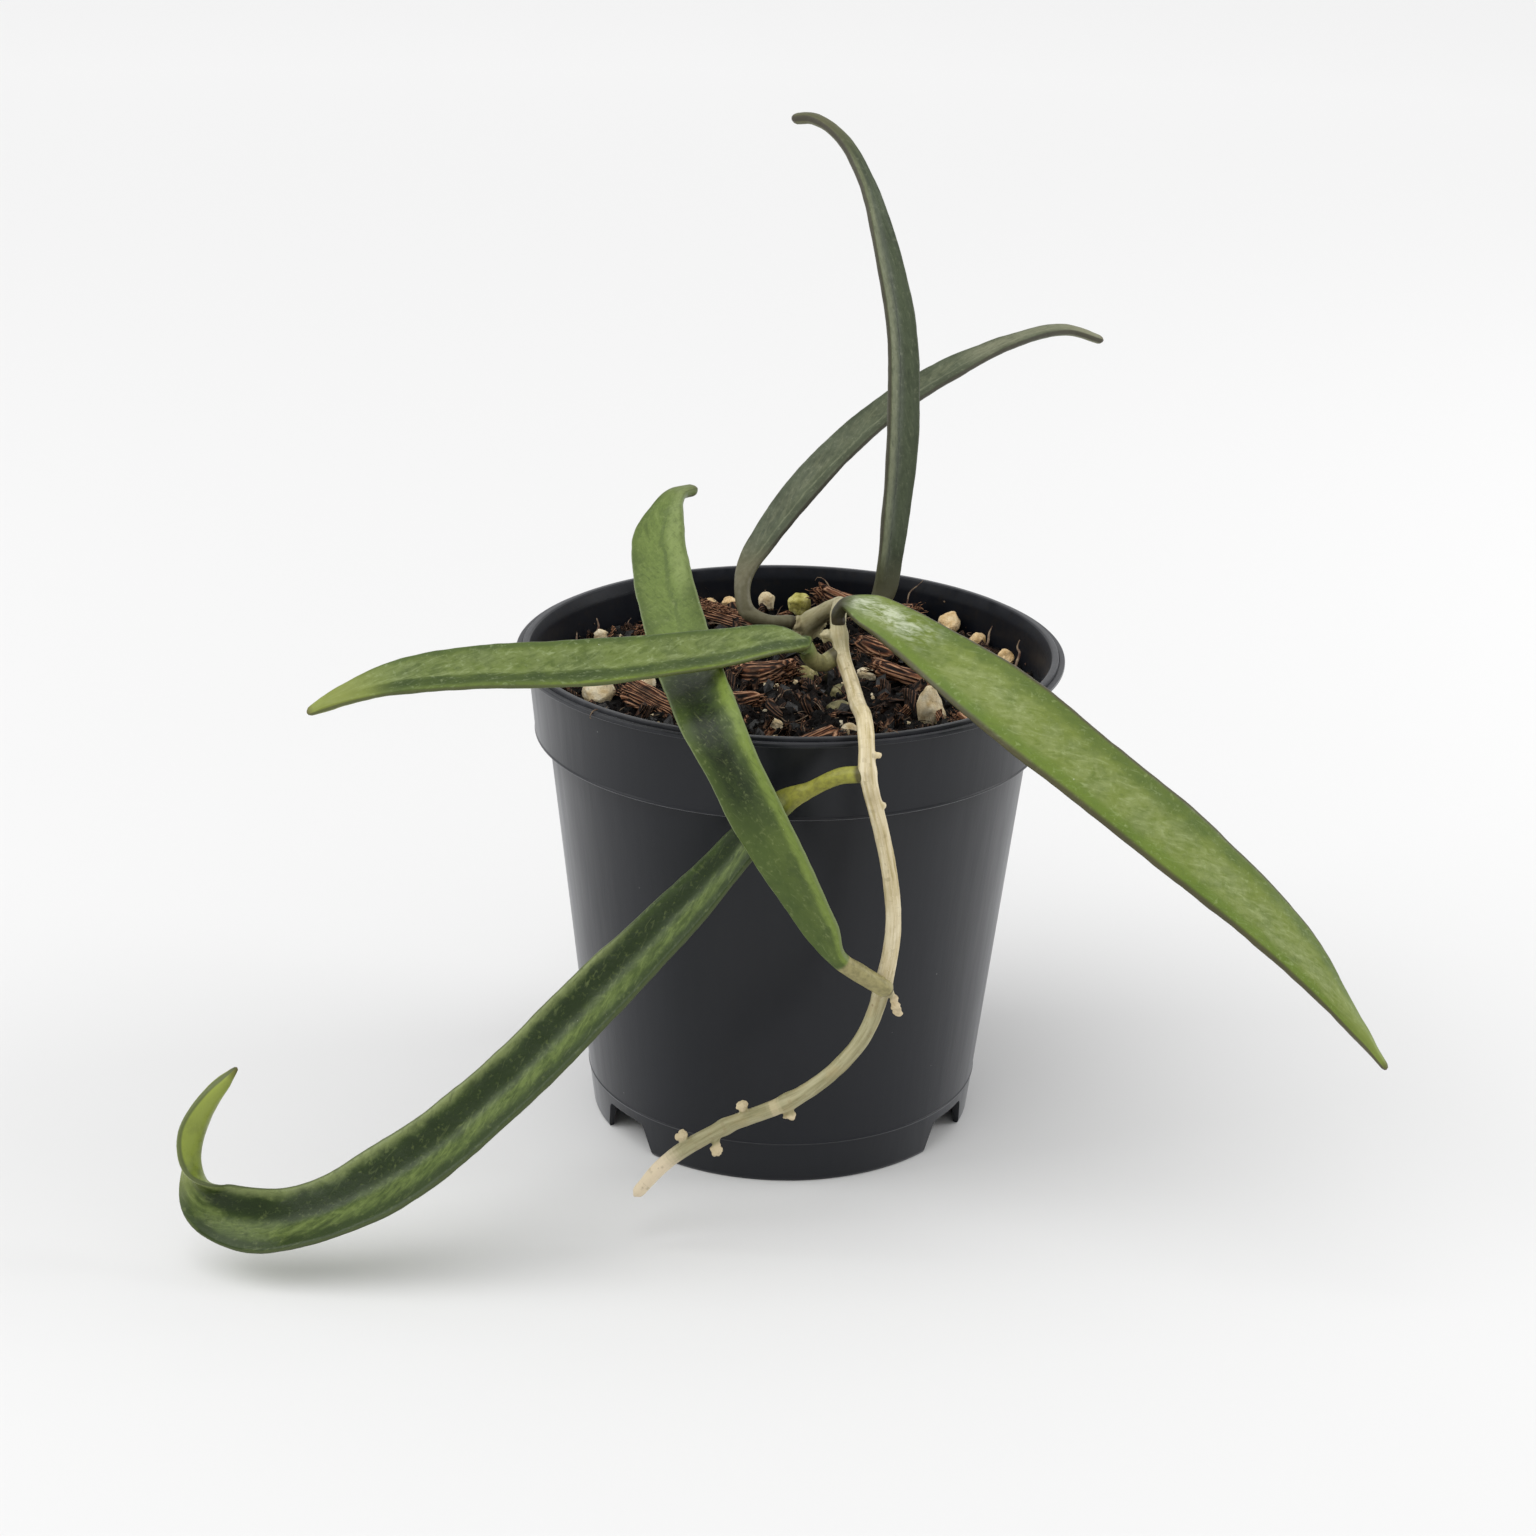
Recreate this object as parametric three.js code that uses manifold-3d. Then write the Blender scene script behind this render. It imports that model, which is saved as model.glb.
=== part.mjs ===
// A potted string bean hoya: one trailing vine with six channelled leaves, rooted in bark and
// pumice in a round four-inch nursery pot. Millimetres, +Z up, the front of the plant towards -Y.
import * as THREE from "three";
import { mergeVertices } from "three/addons/utils/BufferGeometryUtils.js";
import Module from "manifold-3d";

const wasm = await Module();
wasm.setup();

// Clearance between two solids that rest against each other.
const GAP = 0.3;

// The pot's driving sizes. Its rim, band, body and skirt stand on one axis through the origin.
const POT = {
  height: 93,
  lipRadius: 51,
  lipInnerRadius: 48.5,
  lipLedge: 1.1,
  lipDrop: 0.6,
  lipThickness: 1.5,
  bandTopRadius: 48.9,
  bandFootRadius: 47.5,
  bandFootHeight: 76.7,
  bodyTopRadius: 45,
  seamHeight: 8.4,
  seamRadius: 37.7,
  footRadius: 36.6,
  wall: 1.2,
  floorHeight: 7,
  floorThickness: 1.5,
  edge: 0.3,
  segments: 64,
};

// Notches in the skirt: middle angles in degrees, width along the wall, height, slope of their sides
// and how far each is cut inwards. Round drain holes stand on a ring in the floor.
const NOTCH = { angles: [-142, -30, 38, 150], width: 13, height: 6.3, slope: 1, reach: 6 };
const DRAIN = { count: 6, ring: 24, radius: 3, sides: 16 };

// The mix is a little higher in the middle, and its top is rough. The vine stands in a hole in it.
const SOIL = { edgeHeight: 84.6, crown: 1.2, relief: 0.8, segments: 40, rings: 10, seed: 11 };
const HOLE = { depth: 14, sides: 14 };

// Leaves: sections along each and round each, the stretch in which a petiole opens into its blade,
// and the share of the half width by which a folded section is lowered to stay on the centre line.
const LEAF = { stations: 34, sides: 12, opening: 9, lowered: 0.45 };

// The vine: distance between sections, sides, and how far a petiole's collar stands out of it.
const STEM = { step: 2.8, sides: 9, collarRise: 0.7, collarFlare: 0.15, nubSides: 8 };

const STONE_SEED = 100;
const CHIP_SEED = 200;
// A bark chip's curl across and along it, how far each end narrows, and its ragged end.
const CHIP = { curlAcross: 0.08, curlAlong: 0.012, narrow: [0.45, 0.15], ragged: 0.8 };

const COLOURS = {
  potPlastic: 0x232428,
  peat: 0x1d1713,
  bark: 0x6f4430,
  pumice: 0xd8c9a6,
  gravel: 0x77744f,
  vineSkin: 0xb3a583,
  freshLeaf: 0x56713f,
  oldLeaf: 0x4a5742,
};

function material(name, roughness) {
  return new THREE.MeshStandardMaterial({ color: COLOURS[name], roughness, metalness: 0 });
}

const MATERIALS = {
  potPlastic: material("potPlastic", 0.45),
  peat: material("peat", 0.95),
  bark: material("bark", 0.85),
  pumice: material("pumice", 0.9),
  gravel: material("gravel", 0.7),
  vineSkin: material("vineSkin", 0.65),
  freshLeaf: material("freshLeaf", 0.42),
  oldLeaf: material("oldLeaf", 0.5),
};

// A repeatable random draw between 0 and 1.
function seeded(seed) {
  let state = seed;
  return () => {
    state = (state + 0x6d2b79f5) | 0;
    let mixed = Math.imul(state ^ (state >>> 15), 1 | state);
    mixed = (mixed + Math.imul(mixed ^ (mixed >>> 7), 61 | mixed)) ^ mixed;
    return ((mixed ^ (mixed >>> 14)) >>> 0) / 4294967296;
  };
}

const vector = (point) => new THREE.Vector3(...point);
const smooth = (value) => THREE.MathUtils.smoothstep(value, 0, 1);

// Solids: from a three.js geometry to a manifold and back.
function solidOf(geometry) {
  const bare = geometry.index ? geometry.toNonIndexed() : geometry.clone();
  bare.deleteAttribute("normal");
  bare.deleteAttribute("uv");
  const merged = mergeVertices(bare, 1e-4);
  const mesh = new wasm.Mesh({
    numProp: 3,
    vertProperties: merged.attributes.position.array,
    triVerts: new Uint32Array(merged.index.array),
  });
  return new wasm.Manifold(mesh);
}

function geometryOf(solid) {
  const mesh = solid.getMesh();
  const geometry = new THREE.BufferGeometry();
  geometry.setAttribute("position", new THREE.BufferAttribute(mesh.vertProperties, 3));
  geometry.setIndex(new THREE.BufferAttribute(mesh.triVerts, 1));
  return geometry;
}

// A closed skin over a row of rings with the same number of points, with a middle point at each end.
function loft(rings, firstTip, lastTip) {
  const sides = rings[0].length;
  const points = [firstTip, ...rings.flat(), lastTip];
  const last = points.length - 1;
  const faces = [];
  const corner = (ring, side) => 1 + ring * sides + (side % sides);
  for (let side = 0; side < sides; side += 1) {
    faces.push(0, corner(0, side + 1), corner(0, side));
    faces.push(last, corner(rings.length - 1, side), corner(rings.length - 1, side + 1));
  }
  for (let ring = 0; ring < rings.length - 1; ring += 1) {
    for (let side = 0; side < sides; side += 1) {
      const [a, b] = [corner(ring, side), corner(ring, side + 1)];
      const [c, d] = [corner(ring + 1, side), corner(ring + 1, side + 1)];
      faces.push(a, b, d, a, d, c);
    }
  }
  const geometry = new THREE.BufferGeometry();
  geometry.setAttribute("position", new THREE.Float32BufferAttribute(points.flatMap((p) => p.toArray()), 3));
  geometry.setIndex(faces);
  return geometry;
}

// The pot: one moulded shell with a stepped lip, a band, a tapering body and a notched skirt.
function potProfile() {
  const ledgeHeight = POT.height - POT.lipDrop;
  const lipUnderside = POT.height - POT.lipThickness;
  const ringRadius = POT.lipRadius - POT.lipLedge;
  const bandInnerTop = POT.bandTopRadius - POT.wall;
  const bandInnerFoot = POT.bandFootRadius - POT.wall;
  const bodyInnerTop = POT.bodyTopRadius - POT.wall;
  const seamInner = POT.seamRadius - POT.wall;
  const floorTop = POT.floorHeight + POT.floorThickness;
  const footInner = POT.footRadius - POT.wall;
  return [
    [0, POT.floorHeight],
    [footInner + POT.edge, POT.floorHeight],
    [footInner, 0],
    [POT.footRadius - POT.edge, 0],
    [POT.footRadius, 2 * POT.edge],
    [POT.seamRadius - 0.7 * POT.edge, POT.seamHeight - POT.edge],
    [POT.seamRadius, POT.seamHeight],
    [POT.seamRadius - POT.edge / 2, POT.seamHeight + POT.edge],
    [POT.bodyTopRadius, POT.bandFootHeight - 2 * POT.edge],
    [POT.bodyTopRadius + 2 * POT.edge, POT.bandFootHeight],
    [POT.bandFootRadius - POT.edge, POT.bandFootHeight],
    [POT.bandFootRadius, POT.bandFootHeight + POT.edge],
    [POT.bandTopRadius, lipUnderside],
    [POT.lipRadius, lipUnderside + POT.edge / 3],
    [POT.lipRadius, ledgeHeight],
    [ringRadius, ledgeHeight],
    [ringRadius - POT.edge / 3, POT.height],
    [POT.lipInnerRadius + POT.edge, POT.height],
    [POT.lipInnerRadius, POT.height - POT.edge],
    [bandInnerTop, lipUnderside - POT.wall / 2],
    [bandInnerFoot, POT.bandFootHeight + POT.wall],
    [bodyInnerTop, POT.bandFootHeight - POT.wall],
    [seamInner, floorTop + POT.wall],
    [seamInner - POT.wall, floorTop],
    [0, floorTop],
  ].map(([radius, height]) => new THREE.Vector2(radius, height));
}

function notchCutter(angle) {
  const half = NOTCH.width / 2;
  const outline = new THREE.Shape();
  outline.moveTo(-half - NOTCH.slope, -1);
  outline.lineTo(half + NOTCH.slope, -1);
  outline.lineTo(half - NOTCH.slope, NOTCH.height - 1);
  outline.lineTo(half - NOTCH.slope - 1, NOTCH.height);
  outline.lineTo(-half + NOTCH.slope + 1, NOTCH.height);
  outline.lineTo(-half + NOTCH.slope, NOTCH.height - 1);
  outline.closePath();
  const cutter = new THREE.ExtrudeGeometry(outline, { depth: 2 * NOTCH.reach, bevelEnabled: false });
  cutter.rotateX(Math.PI / 2);
  cutter.rotateZ(Math.PI / 2);
  cutter.translate(POT.footRadius - NOTCH.reach, 0, 0);
  cutter.rotateZ(THREE.MathUtils.degToRad(angle));
  return solidOf(cutter);
}

function drainCutter(index) {
  const angle = ((index + 0.5) / DRAIN.count) * 2 * Math.PI;
  const cutter = new THREE.CylinderGeometry(DRAIN.radius, DRAIN.radius, 2 * POT.floorThickness, DRAIN.sides);
  cutter.rotateX(Math.PI / 2);
  const height = POT.floorHeight + POT.floorThickness / 2;
  cutter.translate(DRAIN.ring * Math.cos(angle), DRAIN.ring * Math.sin(angle), height);
  return solidOf(cutter);
}

function potGeometry() {
  const lathe = new THREE.LatheGeometry(potProfile(), POT.segments);
  lathe.rotateX(Math.PI / 2);
  let shell = solidOf(lathe);
  for (const angle of NOTCH.angles) shell = shell.subtract(notchCutter(angle));
  for (let index = 0; index < DRAIN.count; index += 1) shell = shell.subtract(drainCutter(index));
  return geometryOf(shell);
}

// Leaves. Each is a list of points on its centre line from the vine to the tip, with the way its
// channelled upper face looks and its half width at each of those points.
const LEAVES = [
  {
    name: "leaf_right",
    skin: "freshLeaf",
    petioleRadius: 1.45,
    petioleLength: 4.5,
    thickness: 2.3,
    fold: 0.1,
    half: [1.45, 1.45, 1.5, 3.8, 4.9, 6.9, 6.85, 6.5, 4.9, 1.6, 0.5],
    line: [
      [8.5, -20, 103],
      [8.4, -20, 105.8],
      [9.6, -20.6, 107.7],
      [13.8, -23.3, 107.5],
      [20.3, -27.8, 105.2],
      [33.2, -40.9, 100.2],
      [51.6, -51, 88.9],
      [70.4, -57, 75.5],
      [86.8, -61, 61.6],
      [98.8, -64, 47.4],
      [104.2, -65.5, 40.6],
    ],
    face: [
      [-1, -0.4, 0],
      [-1, -0.4, 0.2],
      [-0.5, -0.5, 0.9],
      [0.2, -0.7, 0.7],
      [0.25, -0.7, 0.65],
      [0.25, -0.72, 0.65],
      [0.3, -0.72, 0.62],
      [0.35, -0.72, 0.6],
      [0.4, -0.72, 0.55],
      [0.45, -0.75, 0.5],
      [0.45, -0.75, 0.5],
    ],
  },
  {
    name: "leaf_left",
    skin: "freshLeaf",
    petioleRadius: 1.45,
    petioleLength: 9,
    thickness: 2.3,
    fold: 0.42,
    half: [1.45, 1.45, 1.4, 2, 4.5, 4.7, 5.5, 4.65, 3.1, 1.6, 0.5],
    line: [
      [9.2, -22, 99.2],
      [5.9, -23, 97.4],
      [3.8, -25, 99],
      [2, -28, 102.7],
      [-1.9, -31.9, 104.1],
      [-15.5, -43.2, 105.6],
      [-35.4, -51.2, 105.6],
      [-54, -56, 106],
      [-66.4, -59, 105],
      [-74.5, -61, 102.7],
      [-80.2, -62, 100],
    ],
    face: [
      [0, -0.2, 1],
      [-0.6, -0.2, 0.8],
      [-0.9, 0, 0.4],
      [-0.7, -0.2, 0.7],
      [-0.2, -0.4, 0.9],
      [0, -0.45, 0.9],
      [0, -0.45, 0.9],
      [0, -0.45, 0.9],
      [-0.1, -0.5, 0.85],
      [-0.2, -0.55, 0.8],
      [-0.3, -0.6, 0.75],
    ],
  },
  {
    name: "leaf_crossing",
    skin: "freshLeaf",
    petioleRadius: 1.4,
    petioleLength: 8.5,
    thickness: 2.3,
    fold: 0.3,
    half: [1.4, 1.4, 2.3, 4, 5.1, 5.1, 5.3, 5.3, 5.5, 5.45, 5.5, 5.2, 3.6, 1.3, 0.5],
    line: [
      [17.6, -58.2, 51],
      [13.8, -60.6, 53.8],
      [10.8, -61.5, 57.2],
      [6.9, -62, 62.7],
      [-1.5, -62, 77.5],
      [-8.9, -59.8, 91.1],
      [-12.7, -55, 97],
      [-15.4, -46, 99.6],
      [-18.2, -33.6, 100.9],
      [-21.1, -19.8, 104.1],
      [-23.8, -5, 108.3],
      [-24.8, 5, 111.9],
      [-24, 12, 114.5],
      [-22.1, 18, 116.3],
      [-18.7, 23, 116],
    ],
    face: [
      [-0.3, -0.9, -0.3],
      [-0.3, -0.9, -0.3],
      [-0.4, -0.9, -0.2],
      [-0.45, -0.88, -0.1],
      [-0.35, -0.93, -0.1],
      [-0.35, -0.9, 0.2],
      [-0.35, -0.7, 0.6],
      [-0.35, -0.4, 0.85],
      [-0.3, -0.3, 0.9],
      [-0.3, -0.3, 0.9],
      [-0.35, -0.4, 0.85],
      [-0.35, -0.4, 0.85],
      [-0.3, -0.3, 0.9],
      [0, -0.1, 1],
      [0.3, 0.2, 0.9],
    ],
  },
  {
    name: "leaf_low",
    skin: "freshLeaf",
    petioleRadius: 1.5,
    petioleLength: 14,
    thickness: 2.3,
    fold: 0.45,
    half: [1.45, 1.4, 1.35, 2.5, 3.5, 4.4, 5.8, 6.1, 7, 6.7, 6.3, 5.2, 4.8, 5, 1.7, 0.5],
    line: [
      [13.6, -55.2, 88.9],
      [8.9, -54.2, 88],
      [3.9, -53.2, 85],
      [-0.6, -53, 82.3],
      [-7, -54, 75.2],
      [-14.6, -56, 66.4],
      [-31.2, -62, 49.8],
      [-47.5, -68.3, 34],
      [-64.5, -72.5, 20.2],
      [-81.6, -74.5, 11.2],
      [-91.5, -74.4, 10.3],
      [-99.1, -73.4, 13.1],
      [-102, -71.5, 19.1],
      [-101, -69.8, 26.3],
      [-97.6, -68.6, 32.6],
      [-93.6, -67, 36.6],
    ],
    face: [
      [-0.3, -0.5, 0.8],
      [-0.3, -0.5, 0.8],
      [-0.3, -0.5, 0.8],
      [-0.3, -0.6, 0.7],
      [-0.4, -0.7, 0.6],
      [-0.4, -0.7, 0.6],
      [-0.4, -0.7, 0.6],
      [-0.3, -0.65, 0.7],
      [-0.2, -0.6, 0.8],
      [0, -0.55, 0.85],
      [0.25, -0.45, 0.85],
      [0.6, -0.25, 0.75],
      [0.9, 0.1, 0.4],
      [0.95, 0.3, 0],
      [0.9, 0.4, -0.2],
      [0.85, 0.5, -0.2],
    ],
  },
  {
    name: "leaf_upright",
    skin: "oldLeaf",
    petioleRadius: 1.4,
    petioleLength: 17,
    thickness: 2.2,
    fold: 0.45,
    half: [1.4, 1.4, 1.4, 1.35, 2.2, 2.8, 3.45, 3.9, 3.55, 3.05, 1.8, 1.1, 1.2, 0.5],
    line: [
      [3.6, 24.6, 88.4],
      [7.6, 27, 89.9],
      [11.5, 29, 90.7],
      [15.2, 30.8, 90.3],
      [17.9, 32, 92.9],
      [18.9, 33, 99.6],
      [20.1, 36, 113],
      [20.6, 39, 126.4],
      [19.8, 43, 143],
      [16.8, 47, 156.9],
      [12.9, 52, 169.1],
      [8, 58, 177],
      [2.4, 64, 180.2],
      [-2, 68, 179.8],
    ],
    face: [
      [0, 0, 1],
      [0, 0, 1],
      [0, 0, 1],
      [-0.4, -0.4, 0.8],
      [0.1, -1, 0.1],
      [0.5, -0.85, 0],
      [0.55, -0.83, 0],
      [0.6, -0.8, 0.1],
      [0.6, -0.8, 0.2],
      [0.55, -0.7, 0.4],
      [0.45, -0.6, 0.6],
      [0.3, -0.4, 0.85],
      [0.2, -0.3, 0.93],
      [0.1, -0.3, 0.93],
    ],
  },
  {
    name: "leaf_arching",
    skin: "oldLeaf",
    petioleRadius: 1.35,
    petioleLength: 20,
    thickness: 2.2,
    fold: 0.42,
    half: [1.35, 1.3, 1.3, 1.6, 1.7, 2.4, 2.9, 3.6, 3.8, 3.45, 3.05, 1.8, 0.9, 0.5],
    line: [
      [3.4, 24.6, 88.6],
      [-0.4, 23.5, 89.7],
      [-4.5, 22.2, 90.1],
      [-8.4, 22.2, 91.9],
      [-9.5, 24, 95],
      [-9.1, 27, 98.3],
      [-6.6, 31, 102.1],
      [-1.3, 36, 108.7],
      [7.1, 43, 117],
      [18.9, 52.8, 125.4],
      [29.8, 60.4, 130.7],
      [42.8, 67.6, 135.5],
      [54.4, 74.6, 136.8],
      [62.9, 79.6, 133.6],
    ],
    face: [
      [0, 0, 1],
      [0, 0, 1],
      [0, 0, 1],
      [-0.5, -0.3, 0.8],
      [-0.8, -0.5, 0.3],
      [-0.65, -0.75, 0.1],
      [-0.55, -0.8, 0.3],
      [-0.5, -0.75, 0.45],
      [-0.5, -0.7, 0.5],
      [-0.45, -0.65, 0.6],
      [-0.4, -0.6, 0.7],
      [-0.35, -0.55, 0.75],
      [-0.3, -0.5, 0.8],
      [-0.2, -0.4, 0.9],
    ],
  },
];

// The vine: its centre line from the soil to the growing tip, and its radius at each of those points.
const VINE = {
  line: [
    [4, 26, 78],
    [4, 26, 85.6],
    [3.6, 25, 88.6],
    [5.9, 21, 92.2],
    [8.5, 12, 96.8],
    [9, -4, 102],
    [8.5, -15, 104],
    [8.5, -20, 103],
    [9.4, -23, 98.8],
    [10.8, -29, 96.4],
    [12, -38.5, 95.2],
    [12.9, -46.4, 95.6],
    [13.3, -52.8, 93.4],
    [13.6, -55.2, 88.9],
    [16.4, -56, 78],
    [18.2, -57, 69.3],
    [18.8, -58, 61.3],
    [17.8, -58, 53],
    [15.2, -58, 42.7],
    [11.7, -58, 36.8],
    [7, -58, 31.8],
    [1.5, -58, 27.8],
    [-9.7, -58.5, 22.7],
    [-19.4, -59, 16.2],
    [-25.4, -60, 9.4],
  ],
  radius: [
    2.3, 2.4, 2.5, 1.9, 1.7, 1.6, 1.65, 1.85, 1.9, 1.6, 1.55, 1.55, 1.55,
    1.6, 1.5, 1.5, 1.5, 1.7, 1.5, 1.5, 1.5, 1.65, 1.45, 1.55, 0.9,
  ],
};

// Aerial root stubs, buds and scars on the vine: where each leaves the stem, its way, length, radius.
const NUBS = [
  { from: [8.6, -20.4, 102.2], way: [-0.86, 0.1, 0.5], length: 3.4, radius: 1.05 },
  { from: [3.4, 24.4, 87.6], way: [-0.8, -0.4, -0.2], length: 3.9, radius: 0.75 },
  { from: [13.4, -54, 91.6], way: [1, -0.2, 0.25], length: 2.4, radius: 0.5 },
  { from: [15, -55.6, 83.4], way: [1, -0.3, 0.1], length: 1.9, radius: 0.55 },
  { from: [17.6, -58, 52.2], way: [0.42, -0.2, -0.9], length: 5.4, radius: 0.6 },
  { from: [-6, -58.4, 24.6], way: [-0.25, 0, 1], length: 3, radius: 0.65 },
  { from: [1.6, -58, 27.6], way: [0.1, -0.2, -1], length: 2.9, radius: 0.8 },
  { from: [-9.6, -58.5, 22.8], way: [0.2, -0.3, -1], length: 3.7, radius: 0.75 },
  { from: [-16.4, -59, 18.4], way: [-0.3, 0, 1], length: 3.4, radius: 0.65 },
];

// Tangent, upper-face direction and crosswise direction at a share of the way along a curve.
function frameAt(curve, faces, share) {
  const t = curve.getUtoTmapping(share);
  const centre = curve.getPoint(t);
  const along = curve.getTangent(t);
  const up = faces.getPoint(t);
  up.addScaledVector(along, -up.dot(along)).normalize();
  const across = new THREE.Vector3().crossVectors(up, along);
  return { t, centre, along, up, across };
}

// A value that runs smoothly through a list of numbers, spaced like the points of a line.
function profile(values) {
  const curve = new THREE.SplineCurve(values.map((value, index) => new THREE.Vector2(index, value)));
  return (t) => curve.getPoint(t).y;
}

// One cross-section: a round petiole that opens into a blade folded along its midrib.
function leafSection(leaf, frame, distance, half) {
  const blade = smooth((distance - leaf.petioleLength * 0.7) / LEAF.opening);
  const slim = THREE.MathUtils.lerp(leaf.petioleRadius, leaf.thickness / 2, blade);
  const depth = Math.min(slim, half * 0.95);
  const lowered = LEAF.lowered * half;
  const points = [];
  for (let side = 0; side < LEAF.sides; side += 1) {
    const angle = (side / LEAF.sides) * 2 * Math.PI;
    const across = half * Math.cos(angle);
    const folded = leaf.fold * blade * (Math.hypot(across, 1) - 1 - lowered);
    const up = folded + depth * Math.sin(angle);
    points.push(
      frame.centre.clone().addScaledVector(frame.across, across).addScaledVector(frame.up, up),
    );
  }
  return points;
}

function leafGeometry(leaf, start) {
  const line = leaf.line.map(vector);
  line[0] = start;
  const curve = new THREE.CatmullRomCurve3(line, false, "centripetal");
  const faces = new THREE.CatmullRomCurve3(leaf.face.map(vector), false, "centripetal");
  curve.arcLengthDivisions = 800;
  const length = curve.getLength();
  const halfAt = profile(leaf.half);
  const rings = [];
  for (let station = 0; station < LEAF.stations; station += 1) {
    const share = station / LEAF.stations;
    const frame = frameAt(curve, faces, share);
    rings.push(leafSection(leaf, frame, share * length, halfAt(frame.t)));
  }
  return loft(rings, start.clone(), curve.getPoint(1));
}

// Where a petiole leaves the vine: the middle of its collar's flat end.
function collarEnd(leaf, extra) {
  const from = vector(leaf.line[0]);
  const way = vector(leaf.line[1]).sub(from).normalize();
  return from.addScaledVector(way, vineRadiusNear(leaf.line[0]) + STEM.collarRise + extra);
}

function vineRadiusNear(point) {
  const distances = VINE.line.map((other) => vector(other).distanceTo(vector(point)));
  return VINE.radius[distances.indexOf(Math.min(...distances))];
}

function ring(centre, across, up, radius, sides) {
  return Array.from({ length: sides }, (_, side) => {
    const angle = (side / sides) * 2 * Math.PI;
    return centre
      .clone()
      .addScaledVector(across, radius * Math.cos(angle))
      .addScaledVector(up, radius * Math.sin(angle));
  });
}

// A straight stub with a round or a flat end.
function stub(from, way, length, radius, round) {
  const along = way.clone().normalize();
  const side = Math.abs(along.z) < 0.9 ? new THREE.Vector3(0, 0, 1) : new THREE.Vector3(1, 0, 0);
  const up = side.addScaledVector(along, -side.dot(along)).normalize();
  const across = new THREE.Vector3().crossVectors(up, along);
  const sides = STEM.nubSides;
  const reach = (share) => from.clone().addScaledVector(along, length * share);
  const rings = [ring(from, across, up, radius, sides), ring(reach(0.6), across, up, radius, sides)];
  if (round) rings.push(ring(reach(0.88), across, up, radius * 0.75, sides));
  else rings.push(ring(reach(1), across, up, radius, sides));
  return solidOf(loft(rings, from, reach(1)));
}

function vineGeometry() {
  const line = VINE.line.map(vector);
  const curve = new THREE.CatmullRomCurve3(line, false, "centripetal");
  const radiusAt = profile(VINE.radius);
  curve.arcLengthDivisions = 800;
  const stations = Math.round(curve.getLength() / STEM.step);
  const frames = curve.computeFrenetFrames(stations);
  const rings = [];
  for (let station = 0; station <= stations; station += 1) {
    const t = curve.getUtoTmapping(station / stations);
    const [across, up] = [frames.normals[station], frames.binormals[station]];
    rings.push(ring(curve.getPoint(t), across, up, radiusAt(t), STEM.sides));
  }
  const tip = line.at(-1).addScaledVector(curve.getTangent(1), 0.6);
  let vine = solidOf(loft(rings, line[0], tip));
  for (const leaf of LEAVES) {
    const from = vector(leaf.line[0]);
    const end = collarEnd(leaf, 0);
    const way = end.clone().sub(from);
    vine = vine.add(stub(from, way, way.length(), leaf.petioleRadius + STEM.collarFlare, false));
  }
  for (const nub of NUBS) {
    vine = vine.add(stub(vector(nub.from), vector(nub.way), nub.length, nub.radius, true));
  }
  return vine;
}

// Loose pieces in the potting mix: pumice and gravel by place and size, bark chips by place, size,
// turn about Z and tilt in degrees.
const STONES = [
  { kind: "pumice", at: [-35.1, -9.2, 86], size: [3.3, 3, 2.9] },
  { kind: "pumice", at: [-37, 23, 85.6], size: [1.6, 1.5, 2.2] },
  { kind: "pumice", at: [-16, 41.6, 86.6], size: [1.6, 1.4, 1.4] },
  { kind: "pumice", at: [-12.4, 42.6, 86.8], size: [1.6, 1.6, 1.5] },
  { kind: "pumice", at: [-4.8, 43, 87.3], size: [1.9, 1.8, 2] },
  { kind: "pumice", at: [-27.1, -3.1, 85.2], size: [2.1, 2, 2] },
  { kind: "pumice", at: [-2.4, -22.9, 84.8], size: [1.6, 1.8, 1.6] },
  { kind: "pumice", at: [10.9, -25, 85.2], size: [1.9, 1.7, 1.6] },
  { kind: "pumice", at: [25.6, -15, 86.4], size: [2.8, 2.5, 4] },
  { kind: "pumice", at: [31.2, 31.5, 87.4], size: [2.6, 2.4, 2.6] },
  { kind: "pumice", at: [36.6, 26, 86], size: [1.9, 1.8, 1.7] },
  { kind: "pumice", at: [41.2, 15.2, 86], size: [1.9, 1.7, 1.7] },
  { kind: "pumice", at: [1.6, 41, 87.6], size: [2.4, 2.1, 2.6] },
  { kind: "pumice", at: [14.6, 5.6, 85.2], size: [2.4, 1.6, 1.4] },
  { kind: "gravel", at: [3.4, 4.4, 85.4], size: [2, 1.9, 1.9] },
  { kind: "gravel", at: [9, -3.6, 85], size: [1.9, 1.8, 1.8] },
  { kind: "gravel", at: [9.4, -12.6, 85], size: [2.8, 2, 1.5] },
  { kind: "pumice", at: [-12, -36, 85.4], size: [2.4, 2.2, 2] },
  { kind: "pumice", at: [20, -37, 85.2], size: [2, 2, 1.8] },
];

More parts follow.
